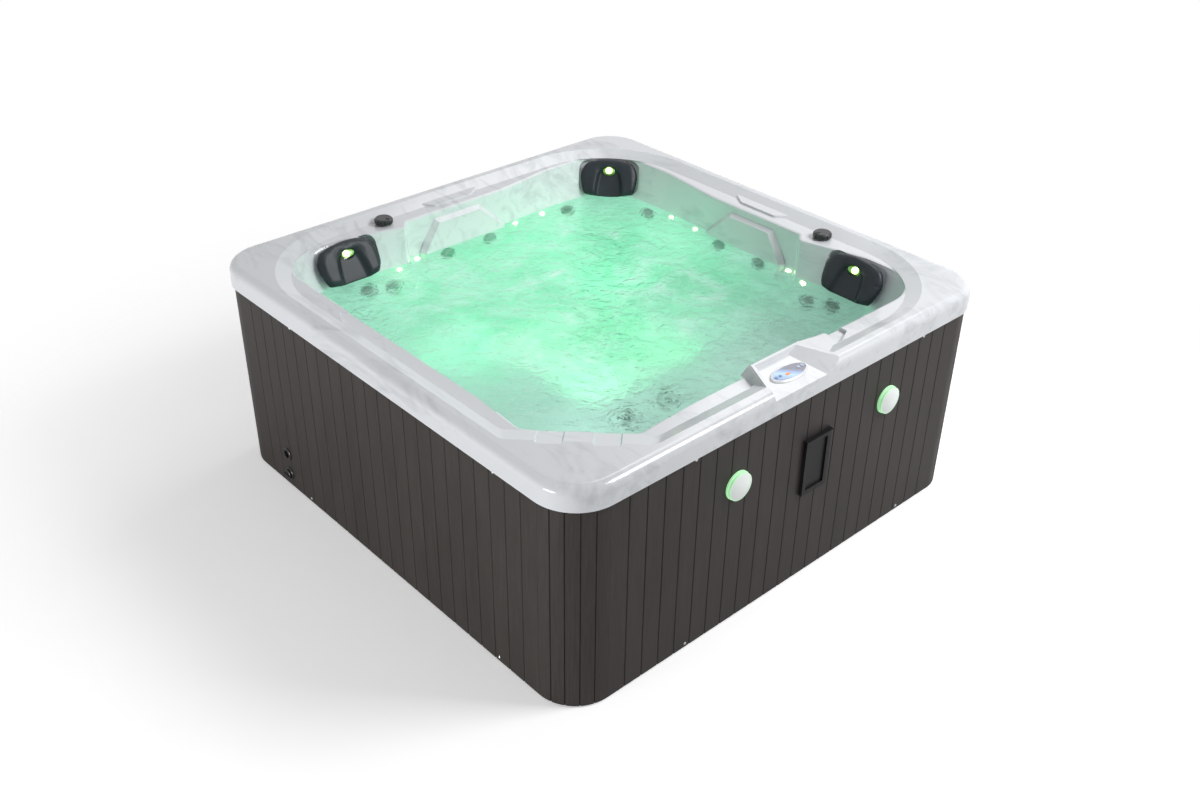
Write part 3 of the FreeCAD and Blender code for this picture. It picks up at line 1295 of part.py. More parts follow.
def pump_motor():
    """Ribbed motor on a foot, with its axis along X."""
    start = Vector(PUMP_MOTOR_START, PUMP_LINE, PUMP_LEVEL)
    body = rod(PUMP_MOTOR, start, ACROSS, PUMP_MOTOR_LENGTH)
    foot = box(PUMP_MOTOR_START + 40.0, PUMP_MOTOR_START + PUMP_MOTOR_LENGTH - 40.0, PUMP_LINE - PUMP_MOTOR,
               PUMP_LINE + PUMP_MOTOR, PAN_FLOOR, PUMP_LEVEL - PUMP_MOTOR * 0.5)
    ribs = []
    for number in range(5):
        place = start + ACROSS * (50.0 + number * 32.0)
        ribs.append(rod(PUMP_MOTOR + 6.0, place, ACROSS, 8.0))
    lid = rod(PUMP_MOTOR * 0.7, start - ACROSS * 12.0, ACROSS, 12.0)
    return body.fuse([foot, lid] + ribs)


PUMP_WET_START = PUMP_MOTOR_START + PUMP_MOTOR_LENGTH
PUMP_FRONT = PUMP_WET_START + PUMP_WET_LENGTH
PUMP_OUT = Vector(PUMP_WET_START + PUMP_WET_LENGTH * 0.5, PUMP_LINE, PUMP_LEVEL)


def pump_wet_end():
    """Volute with a suction union in front and a pressure union at its side."""
    start = Vector(PUMP_WET_START, PUMP_LINE, PUMP_LEVEL)
    body = rod(PUMP_WET, start, ACROSS, PUMP_WET_LENGTH)
    suction = rod(PIPE_RADIUS + 12.0, Vector(PUMP_FRONT, PUMP_LINE, PUMP_LEVEL), ACROSS, 30.0)
    outlet = rod(PIPE_RADIUS + 12.0, PUMP_OUT, Vector(0.0, -1.0, 0.0), PUMP_WET + 30.0)
    return body.fuse([suction, outlet])


CONTROL_BOX_TOP = PAN_FLOOR + CONTROL_BOX[2]
GLAND_START = CONTROL_BOX_LEFT + 60.0
GLAND_PITCH = 70.0


def heater():
    """Steel tube on a bracket over the control box, with a union at each end and a terminal box on top."""
    start = Vector(HEATER_START, HEATER_LINE, HEATER_LEVEL)
    tube = rod(HEATER_RADIUS - 6.0, start, ACROSS, HEATER_LENGTH)
    unions = [rod(HEATER_RADIUS, start, ACROSS, 40.0),
              rod(HEATER_RADIUS, start + ACROSS * (HEATER_LENGTH - 40.0), ACROSS, 40.0)]
    middle = HEATER_START + HEATER_LENGTH / 2.0
    terminal = box(middle - 70.0, middle + 70.0, HEATER_LINE - 26.0, HEATER_LINE + 26.0, HEATER_LEVEL,
                   HEATER_LEVEL + HEATER_RADIUS + 20.0)
    between = GLAND_START + 1.5 * GLAND_PITCH
    bracket = box(between - 12.0, between + 12.0, HEATER_LINE - 20.0, HEATER_LINE + 20.0, CONTROL_BOX_TOP,
                  HEATER_LEVEL)
    return tube.fuse(unions + [terminal, bracket])


def control_box():
    """Power and control box with a lid, standing on the pan behind the front panel."""
    length, width = CONTROL_BOX[:2]
    front = -FRAME_HALF + FRAME_BAR + 12.0
    body = box(CONTROL_BOX_LEFT, CONTROL_BOX_LEFT + length, front, front + width, PAN_FLOOR,
               CONTROL_BOX_TOP)
    lid = box(CONTROL_BOX_LEFT - 6.0, CONTROL_BOX_LEFT + length + 6.0, front + width, front + width + 14.0,
              PAN_FLOOR + 12.0, CONTROL_BOX_TOP + 6.0)
    glands = []
    for number in range(4):
        place = Vector(GLAND_START + number * GLAND_PITCH, front + width / 2.0, CONTROL_BOX_TOP)
        glands.append(rod(12.0, place, UP, 18.0))
    return body.fuse([lid] + glands)


def air_blower():
    """Blower drum on a foot with an outlet on top."""
    drum = turned([(0.0, PAN_FLOOR), (BLOWER_RADIUS, PAN_FLOOR), (BLOWER_RADIUS, BLOWER_HEIGHT - 40.0),
                   (BLOWER_RADIUS * 0.6, BLOWER_HEIGHT), (0.0, BLOWER_HEIGHT)])
    drum.translate(Vector(BLOWER_ALONG, BLOWER_LINE, 0.0))
    outlet = rod(PIPE_RADIUS + 8.0, Vector(BLOWER_ALONG, BLOWER_LINE, BLOWER_HEIGHT), UP, 30.0)
    return drum.fuse(outlet)


def water_pipes():
    """Suction, pressure and return pipes and the drain hose."""
    suction_y = SUCTION_FRAMES[0][0].y - 2.0 * SHELL_WALL
    left = -SUCTION_SPREAD
    pump_in = PUMP_FRONT + 30.0
    first = [(left, suction_y, SUCTION_LEVEL), (left, PUMP_LINE, SUCTION_LEVEL),
             (left, PUMP_LINE, PUMP_LEVEL),
             (pump_in, PUMP_LINE, PUMP_LEVEL)]
    second = [(SUCTION_SPREAD, suction_y, SUCTION_LEVEL), (SUCTION_SPREAD, suction_y - 110.0, SUCTION_LEVEL),
              (left, suction_y - 110.0, SUCTION_LEVEL)]
    outer = pipe_solid(first, PIPE_RADIUS, PIPE_BEND).fuse(pipe_solid(second, PIPE_RADIUS, PIPE_BEND))
    bore_radius = PIPE_RADIUS - PIPE_WALL
    suction = outer.cut([pipe_solid(first, bore_radius, PIPE_BEND),
                         pipe_solid(second, bore_radius, PIPE_BEND)])
    outlet_y = PUMP_LINE - PUMP_WET - 30.0
    pressure = pipe([(PUMP_OUT.x, outlet_y, PUMP_LEVEL), (PUMP_OUT.x, HEATER_LINE, PUMP_LEVEL),
                     (PUMP_OUT.x, HEATER_LINE, HEATER_LEVEL), (HEATER_START, HEATER_LINE, HEATER_LEVEL)])
    heater_end = HEATER_START + HEATER_LENGTH
    back = pipe([(heater_end, HEATER_LINE, HEATER_LEVEL), (MANIFOLD_LINE, HEATER_LINE, HEATER_LEVEL),
                 (MANIFOLD_LINE, HEATER_LINE, MANIFOLD_LEVEL),
                 (MANIFOLD_LINE, PUMP_LINE + MANIFOLD_LENGTH, MANIFOLD_LEVEL)])
    drain_y = FLOOR_DRAIN_PLACE[1]
    drain_x = FLOOR_DRAIN_PLACE[0] - PIPE_RADIUS
    run_x = HOSE_RUN - CABINET_HALF
    hose = pipe([(drain_x, drain_y, DRAIN_LEVEL + 24.0), (run_x, drain_y, DRAIN_LEVEL + 24.0),
                 (run_x, POWER_PLACE - 200.0, DRAIN_LEVEL),
                 (HOSE_TURN - CABINET_HALF, POWER_PLACE, DRAIN_LEVEL),
                 (-CABINET_HALF + INLET_BODY_LENGTH, POWER_PLACE, DRAIN_LEVEL)], DRAIN_PIPE, 40.0)
    return [suction, pressure, back, hose]


def air_pipes():
    """Air pipe from the blower to a straight run behind the far seats."""
    top = BLOWER_HEIGHT + 30.0
    return pipe([(BLOWER_ALONG, BLOWER_LINE, top), (BLOWER_ALONG, BLOWER_LINE, HEATER_LEVEL),
                 (BLOWER_ALONG + AIR_RUN, BLOWER_LINE, HEATER_LEVEL)])


def save(name, shape):
    shape.exportStep("parts/" + name + ".step")


def main():
    os.makedirs("parts", exist_ok=True)
    save("shell", build_shell())

    screws, holes = screws_and_holes()
    front = Vector(0.0, -1.0, 0.0)
    left = Vector(-1.0, 0.0, 0.0)
    lamp_places = [Vector(along, -CABINET_HALF, LAMP_LEVEL) for along in LAMP_PLACES]
    power_place = Vector(-CABINET_HALF, POWER_PLACE, POWER_LEVEL)
    drain_place = Vector(-CABINET_HALF, POWER_PLACE, DRAIN_LEVEL)
    lamp_holes = [rod(LAMP_STUB + CLEAR, place - front * 40.0, front, 80.0) for place in lamp_places]
    fitting_holes = [rod(INLET_BODY + CLEAR, power_place - left * 40.0, left, 80.0),
                     rod(DRAIN_PIPE + CLEAR, drain_place - left * 40.0, left, 80.0)]
    names = ["front", "right", "back", "left"]
    for quarter in range(4):
        panel = turned_about(side_panel(), quarter).cut(holes[quarter])
        if names[quarter] == "front":
            panel = panel.cut(lamp_holes)
        if names[quarter] == "left":
            panel = panel.cut(fitting_holes)
        save("panel_" + names[quarter], one_solid(panel))
    corner_names = ["front_left", "front_right", "back_right", "back_left"]
    for quarter in range(4):
        save("corner_" + corner_names[quarter], one_solid(turned_about(corner_panel(), quarter)))
    all_holes = [cut for side in holes for cut in side]
    save("cabinet_screws", group(screws))
    save("base_pan", one_solid(base_pan().cut(all_holes)))
    save("support_frame", one_solid(support_frame().cut(all_holes)))

    nozzles = []
    for name, frame in PILLOW_FRAMES.items():
        save("pillow_" + name, placed(pillow(), *frame))
        nozzles.append(placed(nozzle(), *frame))
    save("pillow_lights", group(nozzles))
    valves = []
    for name, place in KNOB_PLACES.items():
        save("knob_" + name, placed(knob(), place, UP, Vector(-place.x, -place.y, 0.0)))
        valves.append(placed(valve(), place, UP, Vector(-place.x, -place.y, 0.0)))
    save("diverter_valves", group(valves))

    save("control_housing", one_solid(on_dish(control_housing())))
    save("control_face", on_dish(control_face()))
    for number, along in enumerate(BUTTON_ALONG):
        save("button_" + str(number + 1), on_dish(button(along)))

    save("lamp_bases", group([placed(lamp_base(), place, front, ACROSS) for place in lamp_places]))
    save("lamp_lenses", group([placed(lamp_lens(), place, front, ACROSS) for place in lamp_places]))
    save("power_inlet", placed(power_inlet(), power_place, left, front))
    save("drain_outlet", placed(drain_outlet(), drain_place, left, front))
    save("drain_cap", placed(drain_cap(), drain_place, left, front))
    save("vent_cover", one_solid(vent_cover()))

    save("jet_bodies", group([placed(jet_body(), *frame) for frame in jet_frames()]))
    for number, frame in enumerate(jet_frames()):
        save("jet_face_" + str(number + 1), placed(jet_face(), *frame))
    save("waterline_lights", group([placed(waterline_light(), *frame) for frame in light_frames()]))
    save("main_light_body", placed(main_light_body(), *MAIN_LIGHT_FRAME))
    save("main_light_lens", placed(main_light_lens(), *MAIN_LIGHT_FRAME))
    save("suction_covers", group([placed(suction_cover(), *frame) for frame in SUCTION_FRAMES]))
    save("filter_canister", placed(filter_canister(), *FILTER_FRAME))
    save("filter_cartridge", placed(filter_cartridge(), *FILTER_FRAME))
    save("filter_cover", placed(filter_cover(), *FILTER_FRAME))
    drain = Vector(FLOOR_DRAIN_PLACE[0], FLOOR_DRAIN_PLACE[1], FOOTWELL_FLOOR)
    save("floor_drain", placed(floor_drain(), drain, UP, ACROSS))

    save("pump_motor", one_solid(pump_motor()))
    save("pump_wet_end", one_solid(pump_wet_end()))
    save("heater", one_solid(heater()))
    save("control_box", one_solid(control_box()))
    save("air_blower", one_solid(air_blower()))
    save("water_pipes", group(water_pipes()))
    save("air_pipes", air_pipes())
    block_top = FOOTWELL_FLOOR - SHELL_WALL
    save("footwell_block", box(-BLOCK_HALF + 80.0, BLOCK_HALF, -BLOCK_HALF, BLOCK_HALF, PAN_FLOOR,
                               block_top))


main()
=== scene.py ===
import math

import bpy
from mathutils import Matrix, Vector


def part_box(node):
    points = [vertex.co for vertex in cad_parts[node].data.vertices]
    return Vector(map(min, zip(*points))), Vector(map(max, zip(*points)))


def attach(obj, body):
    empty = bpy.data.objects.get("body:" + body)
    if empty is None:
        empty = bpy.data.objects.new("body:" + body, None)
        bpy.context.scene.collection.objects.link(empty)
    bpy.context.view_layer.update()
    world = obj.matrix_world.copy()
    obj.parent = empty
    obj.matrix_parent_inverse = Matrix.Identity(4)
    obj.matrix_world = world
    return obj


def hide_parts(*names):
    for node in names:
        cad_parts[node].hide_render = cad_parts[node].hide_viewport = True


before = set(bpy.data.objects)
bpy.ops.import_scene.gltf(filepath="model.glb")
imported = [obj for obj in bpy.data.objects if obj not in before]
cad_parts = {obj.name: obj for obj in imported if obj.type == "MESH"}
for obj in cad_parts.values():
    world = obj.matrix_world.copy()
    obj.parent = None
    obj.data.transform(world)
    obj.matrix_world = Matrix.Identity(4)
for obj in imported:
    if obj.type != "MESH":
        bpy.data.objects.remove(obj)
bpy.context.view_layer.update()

# Photograph's camera
PHOTO_WIDTH = 1200.0
SENSOR_WIDTH = 36.0
FOCAL_PIXELS = 1293.45
CAMERA_PLACE = (-2.8500, -3.1124, 2.9764)
CAMERA_YAW = -42.73
CAMERA_PITCH = 32.535
CAMERA_ROLL = 0.887
CAMERA_FAR = 100.0

# Sheet of water, in metres, and the cuts along each side of it
WATER_LEVEL = 0.684
WATER_HALF = 0.86
WATER_CUTS = 220

# Painted glow of the water, standing in for the light of the lamps in it: its middle, how far it reaches
# in metres, and its share of what is seen
GLOW_MIDDLE = (0.06, 0.24, WATER_LEVEL)
GLOW_REACH = 1.10
GREEN_REACH = 1.0
GREEN_FULL = 0.5
GLOW_LEAST = 0.16
GLOW_MOST = 0.86
GLOW_PATCH = 0.55

# Surface of the water: index for the bent view, index for the gloss, roughness and ripple depth
WATER_BEND = 1.2
WATER_SHEEN = 1.22
WATER_ROUGHNESS = 0.08
RIPPLE_DEPTH = 0.020

# Control panel, in metres, and how far its colours slant
PANEL_SLANT = 1.0
PANEL_UNEVEN = 0.06
PANEL_FILM = 0.0012
DISPLAY_SIZE = (0.019, 0.009, 0.0012)
DISPLAY_CORNER = 0.003
DISPLAY_CORNER_CUTS = 5
DISPLAY_EDGE = 0.3 * DISPLAY_SIZE[2]
DISPLAY_EDGE_CUTS = 2
DISPLAY_PLACE = (-0.014, -0.006)
DISPLAY_GLOW = 0.8

# Seats of the headrests in the wall: middle of the seat, way out of the tub, lean in degrees
PAD_LEVEL = 0.747
PAD_SEATS = {
    "left": ((-0.547, 0.824), (0.0, 1.0), 31.0),
    "back": ((0.766, 0.766), (math.sqrt(0.5), math.sqrt(0.5)), 33.5),
    "right": ((0.824, -0.547), (1.0, 0.0), 31.0),
}

# Foam headrests, in metres from the middle of the seat and out from it
PAD_REACH = 0.125
PAD_LAP = 0.139
PAD_TOP = 0.076
PAD_FOOT = 0.089
PAD_BACK = 0.002
PAD_LIP = 0.023
PAD_LIP_THICK = 0.004
PAD_LOBE = 0.048
PAD_HOLLOW = 0.020
PLUG_REACH = 0.123
PLUG_RISE = 0.067

# Nozzle in each headrest, in metres, with the place of its lamp along it and the strength of its light
NOZZLE_HOLE = (0.0285, 0.0175)
NOZZLE_HOLE_SIDES = 48
NOZZLE_HOLE_LENGTH = 0.3
NOZZLE_RISE = 0.026
NOZZLE_FACE = 0.042
NOZZLE_LAMPS = {"left": -0.010, "back": 0.0, "right": 0.009}
NOZZLE_CORE = 0.009
NOZZLE_FADE = 0.018
NOZZLE_DIM = 0.35
NOZZLE_BRIGHT = 6.0

# Shape of a headrest, in shares of its half width and half height
TOP_ROUNDING = 0.75
FOOT_ROUNDING = 0.5
PLUG_ROUNDING = 0.7
SIDE_SHOULDER = 0.20
END_SHOULDER = 0.32
HOLLOW_HALF = 0.48
HOLLOW_FLARE = 0.14
HOLLOW_SOFT = 0.20
HOLLOW_START = 0.66
HOLLOW_RUN = 0.5

# Making of the headrests: cuts in the starting block, and the swelling of the skin
PAD_CUTS = 48
PAD_VOXEL = 0.004
PAD_PRESSURE = 4.0
SWELL_FRAMES = 20
SWELL_MOST = 0.0025

# Floor round the tub, in metres, and the light that lifts it to the background
FLOOR_DROP = 0.0005
FLOOR_FADE = 1.5
FLOOR_REACH = 3.0
FLOOR_LIFT = 0.36

# Base colours, linear
ACRYLIC_PALE = (0.74, 0.76, 0.79)
ACRYLIC_GREY = (0.60, 0.62, 0.65)
CABINET_DARK = (0.026, 0.022, 0.020)
CABINET_LIGHT = (0.046, 0.040, 0.037)
FOAM_DARK = (0.009, 0.013, 0.018)
FOAM_LIGHT = (0.017, 0.024, 0.032)
FLOOR_DARK = (0.94, 0.94, 0.94)
FLOOR_LIGHT = (0.96, 0.96, 0.96)
BACKGROUND_WHITE = (1.0, 1.0, 1.0)
WATER_TINT = (0.87, 1.0, 0.95)
# Painted glow of the water in place of its lamps' light: green, mint, lit foam and white
PAINTED_GLOW_GREEN = (0.12, 0.95, 0.44)
PAINTED_GLOW_MINT = (0.48, 0.90, 0.74)
PAINTED_FOAM_GLOW = (0.50, 1.0, 0.76)
PAINTED_GLOW_WHITE = (0.86, 1.0, 0.93)
LAMP_GREEN = (0.30, 1.0, 0.55)
LAMP_MINT = (0.70, 1.0, 0.88)
NOZZLE_GREEN = (0.20, 0.42, 0.10)
NOZZLE_LIME = (0.62, 1.0, 0.16)
NOZZLE_WHITE = (1.0, 1.0, 0.80)
FACE_STEEL = (0.10, 0.22, 0.48)
FACE_SKY = (0.36, 0.62, 0.92)
FACE_BLUE = (0.16, 0.30, 0.64)
FACE_NAVY = (0.035, 0.035, 0.110)
DISPLAY_ORANGE = (0.95, 0.30, 0.04)
DISPLAY_BODY = (0.30, 0.08, 0.02)

# Plain finishes: dark and light colour, roughness, and what differs from the usual
PLAIN_FINISHES = {
    "black_moulding": ((0.012, 0.012, 0.013), (0.022, 0.022, 0.024), 0.34, {}),
    "white_moulding": ((0.74, 0.75, 0.76), (0.80, 0.81, 0.82), 0.25, {"coat": 0.3}),
    "jet_moulding": ((0.004, 0.005, 0.006), (0.012, 0.013, 0.015), 0.35, {}),
    "cover_moulding": ((0.006, 0.006, 0.007), (0.012, 0.012, 0.013), 0.45, {"specular": 0.2}),
    "pipe_plastic": ((0.72, 0.72, 0.70), (0.80, 0.80, 0.78), 0.4, {}),
    "screw_steel": ((0.55, 0.55, 0.55), (0.72, 0.72, 0.72), 0.3, {"metallic": 1.0}),
    "frame_timber": ((0.42, 0.30, 0.17), (0.56, 0.42, 0.26), 0.7, {"grain": 60.0}),
    "pan_plastic": ((0.02, 0.02, 0.021), (0.035, 0.035, 0.037), 0.6, {}),
    "machine_plastic": ((0.02, 0.021, 0.023), (0.04, 0.042, 0.045), 0.45, {}),
    "block_foam": ((0.78, 0.78, 0.75), (0.88, 0.88, 0.86), 0.8, {"grain": 90.0}),
    "filter_fabric": ((0.74, 0.75, 0.76), (0.86, 0.87, 0.88), 0.9, {}),
    "blue_keys": ((0.11, 0.22, 0.46), (0.15, 0.28, 0.54), 0.3, {}),
    "pale_keys": ((0.46, 0.54, 0.70), (0.54, 0.62, 0.78), 0.35, {}),
}

# Lit finishes: colour and strength of the light, and colour of the body
LIT_FINISHES = {
    "lit_lens": ((1.0, 1.0, 0.45), 14.0, (0.8, 0.9, 0.7)),
    "glow_ring": ((0.30, 0.9, 0.34), 0.5, (0.62, 0.80, 0.62)),
    "frosted_dome": ((0.84, 0.92, 0.87), 0.15, (0.76, 0.80, 0.79)),
}

# Finish of each node, by the start of its name
NODE_FINISHES = {
    "shell": "marbled_acrylic",
    "panel_": "grained_cabinet",
    "corner_": "grained_cabinet",
    "cabinet_screws": "screw_steel",
    "base_pan": "pan_plastic",
    "support_frame": "frame_timber",
    "footwell_block": "block_foam",
    "knob_": "black_moulding",
    "diverter_valves": "pipe_plastic",
    "control_housing": "white_moulding",
    "control_face": "panel_film",
    "button_1": "blue_keys",
    "button_2": "blue_keys",
    "button_3": "pale_keys",
    "button_4": "pale_keys",
    "lamp_bases": "glow_ring",
    "lamp_lenses": "frosted_dome",
    "power_inlet": "black_moulding",
    "drain_outlet": "black_moulding",
    "drain_cap": "black_moulding",
    "vent_cover": "cover_moulding",
    "jet_bodies": "jet_moulding",
    "jet_face": "jet_moulding",
    "waterline_lights": "lit_lens",
    "pillow_lights": "lit_nozzle",
    "main_light_body": "white_moulding",
    "main_light_lens": "lit_lens",
    "suction_covers": "white_moulding",
    "filter_canister": "pipe_plastic",
    "filter_cartridge": "filter_fabric",
    "filter_cover": "white_moulding",
    "floor_drain": "white_moulding",
    "pump_motor": "machine_plastic",
    "pump_wet_end": "machine_plastic",
    "heater": "screw_steel",
    "control_box": "machine_plastic",
    "air_blower": "machine_plastic",
    "water_pipes": "pipe_plastic",
    "air_pipes": "pipe_plastic",
}

# Lamps of the studio: place, point they face and size in metres, and power in watts
STUDIO_LAMPS = {
    "overhead": ((3.0, 1.0, 4.2), (0.0, 0.0, 0.5), (2.4, 2.4), 46.0),
    "key": ((2.4, -3.3, 4.1), (0.0, 0.0, 0.6), (2.0, 2.0), 176.0),
    "fill": ((-5.0, -0.6, 0.45), (0.0, 0.0, 0.4), (1.6, 0.5), 110.0),
}
WORLD_LIGHT = 0.30

# Lights in the water: place in metres, power in watts, radius in metres and colour
WATER_LIGHTS = {
    "footwell_light": ((0.02, 0.02, 0.36), 3.0, 0.16, LAMP_GREEN),
    "far_light": ((0.40, 0.40, 0.60), 3.5, 0.12, LAMP_GREEN),
    "left_light": ((-0.35, 0.35, 0.60), 2.6, 0.12, LAMP_GREEN),
    "near_light": ((-0.36, -0.36, 0.56), 1.2, 0.25, LAMP_MINT),
}


# Node helpers

def new_material(name):
    """Material with an empty node tree and its output."""
    material = bpy.data.materials.new(name)
    material.use_nodes = True
    material.node_tree.nodes.clear()
    output = material.node_tree.nodes.new("ShaderNodeOutputMaterial")
    return material, material.node_tree, output


def add_node(tree, kind, **values):
    """Node whose inputs and settings are given by name."""
    node = tree.nodes.new(kind)
    for name, value in values.items():
        if name in node.inputs:
            node.inputs[name].default_value = value
        else:
            setattr(node, name, value)
    return node


def object_pattern(tree, scale=(1.0, 1.0, 1.0)):
    """Object coordinates stretched by a scale on each axis."""
    coords = add_node(tree, "ShaderNodeTexCoord")
    mapping = add_node(tree, "ShaderNodeMapping")
    mapping.inputs["Scale"].default_value = scale
    tree.links.new(coords.outputs["Object"], mapping.inputs["Vector"])
    return mapping.outputs["Vector"]


def noise(tree, vector, scale, detail=4.0, roughness=0.5, distortion=0.0):
    """Noise texture on given coordinates."""
    node = add_node(tree, "ShaderNodeTexNoise")
    node.inputs["Scale"].default_value = scale
    node.inputs["Detail"].default_value = detail
    node.inputs["Roughness"].default_value = roughness
    node.inputs["Distortion"].default_value = distortion
    tree.links.new(vector, node.inputs["Vector"])
    return node.outputs["Fac"]


def ramp(tree, value, stops):
    """Colour ramp of (position, colour) stops."""
    node = add_node(tree, "ShaderNodeValToRGB")
    elements = node.color_ramp.elements
    while len(elements) < len(stops):
        elements.new(0.5)
    for element, (position, colour) in zip(elements, stops):
        element.position = position
        element.color = (*colour, 1.0)
    tree.links.new(value, node.inputs["Fac"])
    return node.outputs["Color"]


def map_range(tree, value, start, end, low=0.0, high=1.0, steps="LINEAR"):
    """Value carried from the range start to end over to the range low to high."""
    node = add_node(tree, "ShaderNodeMapRange", interpolation_type=steps)
    node.inputs["From Min"].default_value = start
    node.inputs["From Max"].default_value = end
    node.inputs["To Min"].default_value = low
    node.inputs["To Max"].default_value = high
    tree.links.new(value, node.inputs["Value"])
    return node.outputs["Result"]


def combine(tree, operation, *terms):
    """Result of an operation on terms, each a number or the output of a node."""
    node = add_node(tree, "ShaderNodeMath", operation=operation)
    for socket, term in zip(node.inputs, terms):
        if isinstance(term, float):
            socket.default_value = term
        else:
            tree.links.new(term, socket)
    return node.outputs["Value"]


def distance(tree, place, point):
    """Distance of coordinates from a point."""
    node = add_node(tree, "ShaderNodeVectorMath", operation="DISTANCE")
    node.inputs[1].default_value = point
    tree.links.new(place, node.inputs[0])
    return node.outputs["Value"]


def mix_shaders(tree, share, first, second):
    """First shader running into the second by a share."""
    node = add_node(tree, "ShaderNodeMixShader")
    tree.links.new(share, node.inputs["Fac"])
    tree.links.new(first, node.inputs[1])
    tree.links.new(second, node.inputs[2])
    return node.outputs["Shader"]


def bump(tree, height, strength, depth):
    """Bump from a height."""
    node = add_node(tree, "ShaderNodeBump", Strength=strength, Distance=depth)
    tree.links.new(height, node.inputs["Height"])
    return node.outputs["Normal"]


def principled(tree, output, roughness, coat=0.0, metallic=0.0):
    """Principled shader joined to the output."""
    shader = add_node(tree, "ShaderNodeBsdfPrincipled")
    shader.inputs["Roughness"].default_value = roughness
    shader.inputs["Coat Weight"].default_value = coat
    shader.inputs["Metallic"].default_value = metallic
    tree.links.new(shader.outputs["BSDF"], output.inputs["Surface"])
    return shader


# Finishes

def marbled_acrylic():
    """Gloss acrylic with faint grey clouds and thin drifting streaks."""
    material, tree, output = new_material("marbled_acrylic")
    shader = principled(tree, output, roughness=0.18, coat=0.3)
    shader.inputs["Coat Roughness"].default_value = 0.06
    cloud_place = object_pattern(tree, (1.0, 0.55, 1.6))
    clouds = noise(tree, cloud_place, scale=2.2, distortion=1.2)
    streak_place = object_pattern(tree, (1.0, 0.35, 1.0))
    streaks = noise(tree, streak_place, scale=9.0, detail=5.0, roughness=0.55, distortion=2.4)
    marble = combine(tree, "ADD", clouds, streaks)
    colour = ramp(tree, marble, [(0.74, ACRYLIC_GREY), (1.0, ACRYLIC_PALE)])
    tree.links.new(colour, shader.inputs["Base Color"])
    return material


def grained_cabinet():
    """Moulded cabinet plastic with an upright wood grain."""
    material, tree, output = new_material("grained_cabinet")
    shader = principled(tree, output, roughness=0.5)
    shader.inputs["Specular IOR Level"].default_value = 0.25
    fine_place = object_pattern(tree, (1.0, 1.0, 0.05))
    fine = noise(tree, fine_place, scale=160.0, detail=5.0, roughness=0.6, distortion=0.4)
    broad_place = object_pattern(tree, (1.0, 1.0, 0.2))
    broad = noise(tree, broad_place, scale=9.0, detail=3.0)
    mixed = add_node(tree, "ShaderNodeMix", data_type="FLOAT")
    mixed.inputs[0].default_value = 0.35
    tree.links.new(fine, mixed.inputs[2])
    tree.links.new(broad, mixed.inputs[3])
    colour = ramp(tree, mixed.outputs[0], [(0.32, CABINET_DARK), (0.68, CABINET_LIGHT)])
    tree.links.new(colour, shader.inputs["Base Color"])
    rough = map_range(tree, fine, 0.0, 1.0, low=0.42, high=0.62)
    tree.links.new(rough, shader.inputs["Roughness"])
    tree.links.new(bump(tree, fine, strength=0.25, depth=0.001), shader.inputs["Normal"])
    return material


def moulded_foam():
    """Dark closed-cell foam skin with a faint sheen."""
    material, tree, output = new_material("moulded_foam")
    shader = principled(tree, output, roughness=0.42)
    shader.inputs["Specular IOR Level"].default_value = 0.35
    place = object_pattern(tree)
    patches = noise(tree, place, scale=14.0, detail=3.0)
    colour = ramp(tree, patches, [(0.3, FOAM_DARK), (0.75, FOAM_LIGHT)])
    tree.links.new(colour, shader.inputs["Base Color"])
    pores = noise(tree, place, scale=420.0, detail=2.0)
    tree.links.new(bump(tree, pores, strength=0.12, depth=0.0006), shader.inputs["Normal"])
    return material


def speckled(name, dark, light, roughness, grain=300.0, metallic=0.0, coat=0.0, specular=0.5):
    """Plain finish with a fine grain in its colour and surface."""
    material, tree, output = new_material(name)
    shader = principled(tree, output, roughness, coat=coat, metallic=metallic)
    shader.inputs["Specular IOR Level"].default_value = specular
    fine = noise(tree, object_pattern(tree), scale=grain, detail=3.0)
    colour = ramp(tree, fine, [(0.3, dark), (0.7, light)])
    tree.links.new(colour, shader.inputs["Base Color"])
    tree.links.new(bump(tree, fine, strength=0.06, depth=0.0004), shader.inputs["Normal"])
    return material


def glowing(name, colour, strength, body):
    """Lit plastic: a pale body that also gives off light, a little uneven."""
    material, tree, output = new_material(name)
    shader = principled(tree, output, roughness=0.3)
    shader.inputs["Base Color"].default_value = (*body, 1.0)
    shader.inputs["Emission Strength"].default_value = strength
    patches = noise(tree, object_pattern(tree), scale=40.0, detail=2.0)
    dimmer = tuple(0.8 * part for part in colour)
    tint = ramp(tree, patches, [(0.3, dimmer), (0.7, colour)])
    tree.links.new(tint, shader.inputs["Emission Color"])
    return material


def lit_nozzle():
    """Clear green nozzles, each white-hot over its own lamp."""
    material, tree, output = new_material("lit_nozzle")
    shader = principled(tree, output, roughness=0.25)
    shader.inputs["Base Color"].default_value = (*NOZZLE_GREEN, 1.0)
    place = object_pattern(tree)
    nearest = NOZZLE_FADE
    for side, along in NOZZLE_LAMPS.items():
        lamp = pad_seat(side) @ Vector((along, NOZZLE_RISE, NOZZLE_FACE))
        nearest = combine(tree, "MINIMUM", nearest, distance(tree, place, lamp))
    share = map_range(tree, nearest, NOZZLE_FADE, NOZZLE_CORE, steps="SMOOTHSTEP")
    colour = ramp(tree, share, [(0.0, NOZZLE_GREEN), (0.5, NOZZLE_LIME), (1.0, NOZZLE_WHITE)])
    tree.links.new(colour, shader.inputs["Emission Color"])
    strength = map_range(tree, share, 0.0, 1.0, low=NOZZLE_DIM, high=NOZZLE_BRIGHT)
    tree.links.new(strength, shader.inputs["Emission Strength"])
    return material


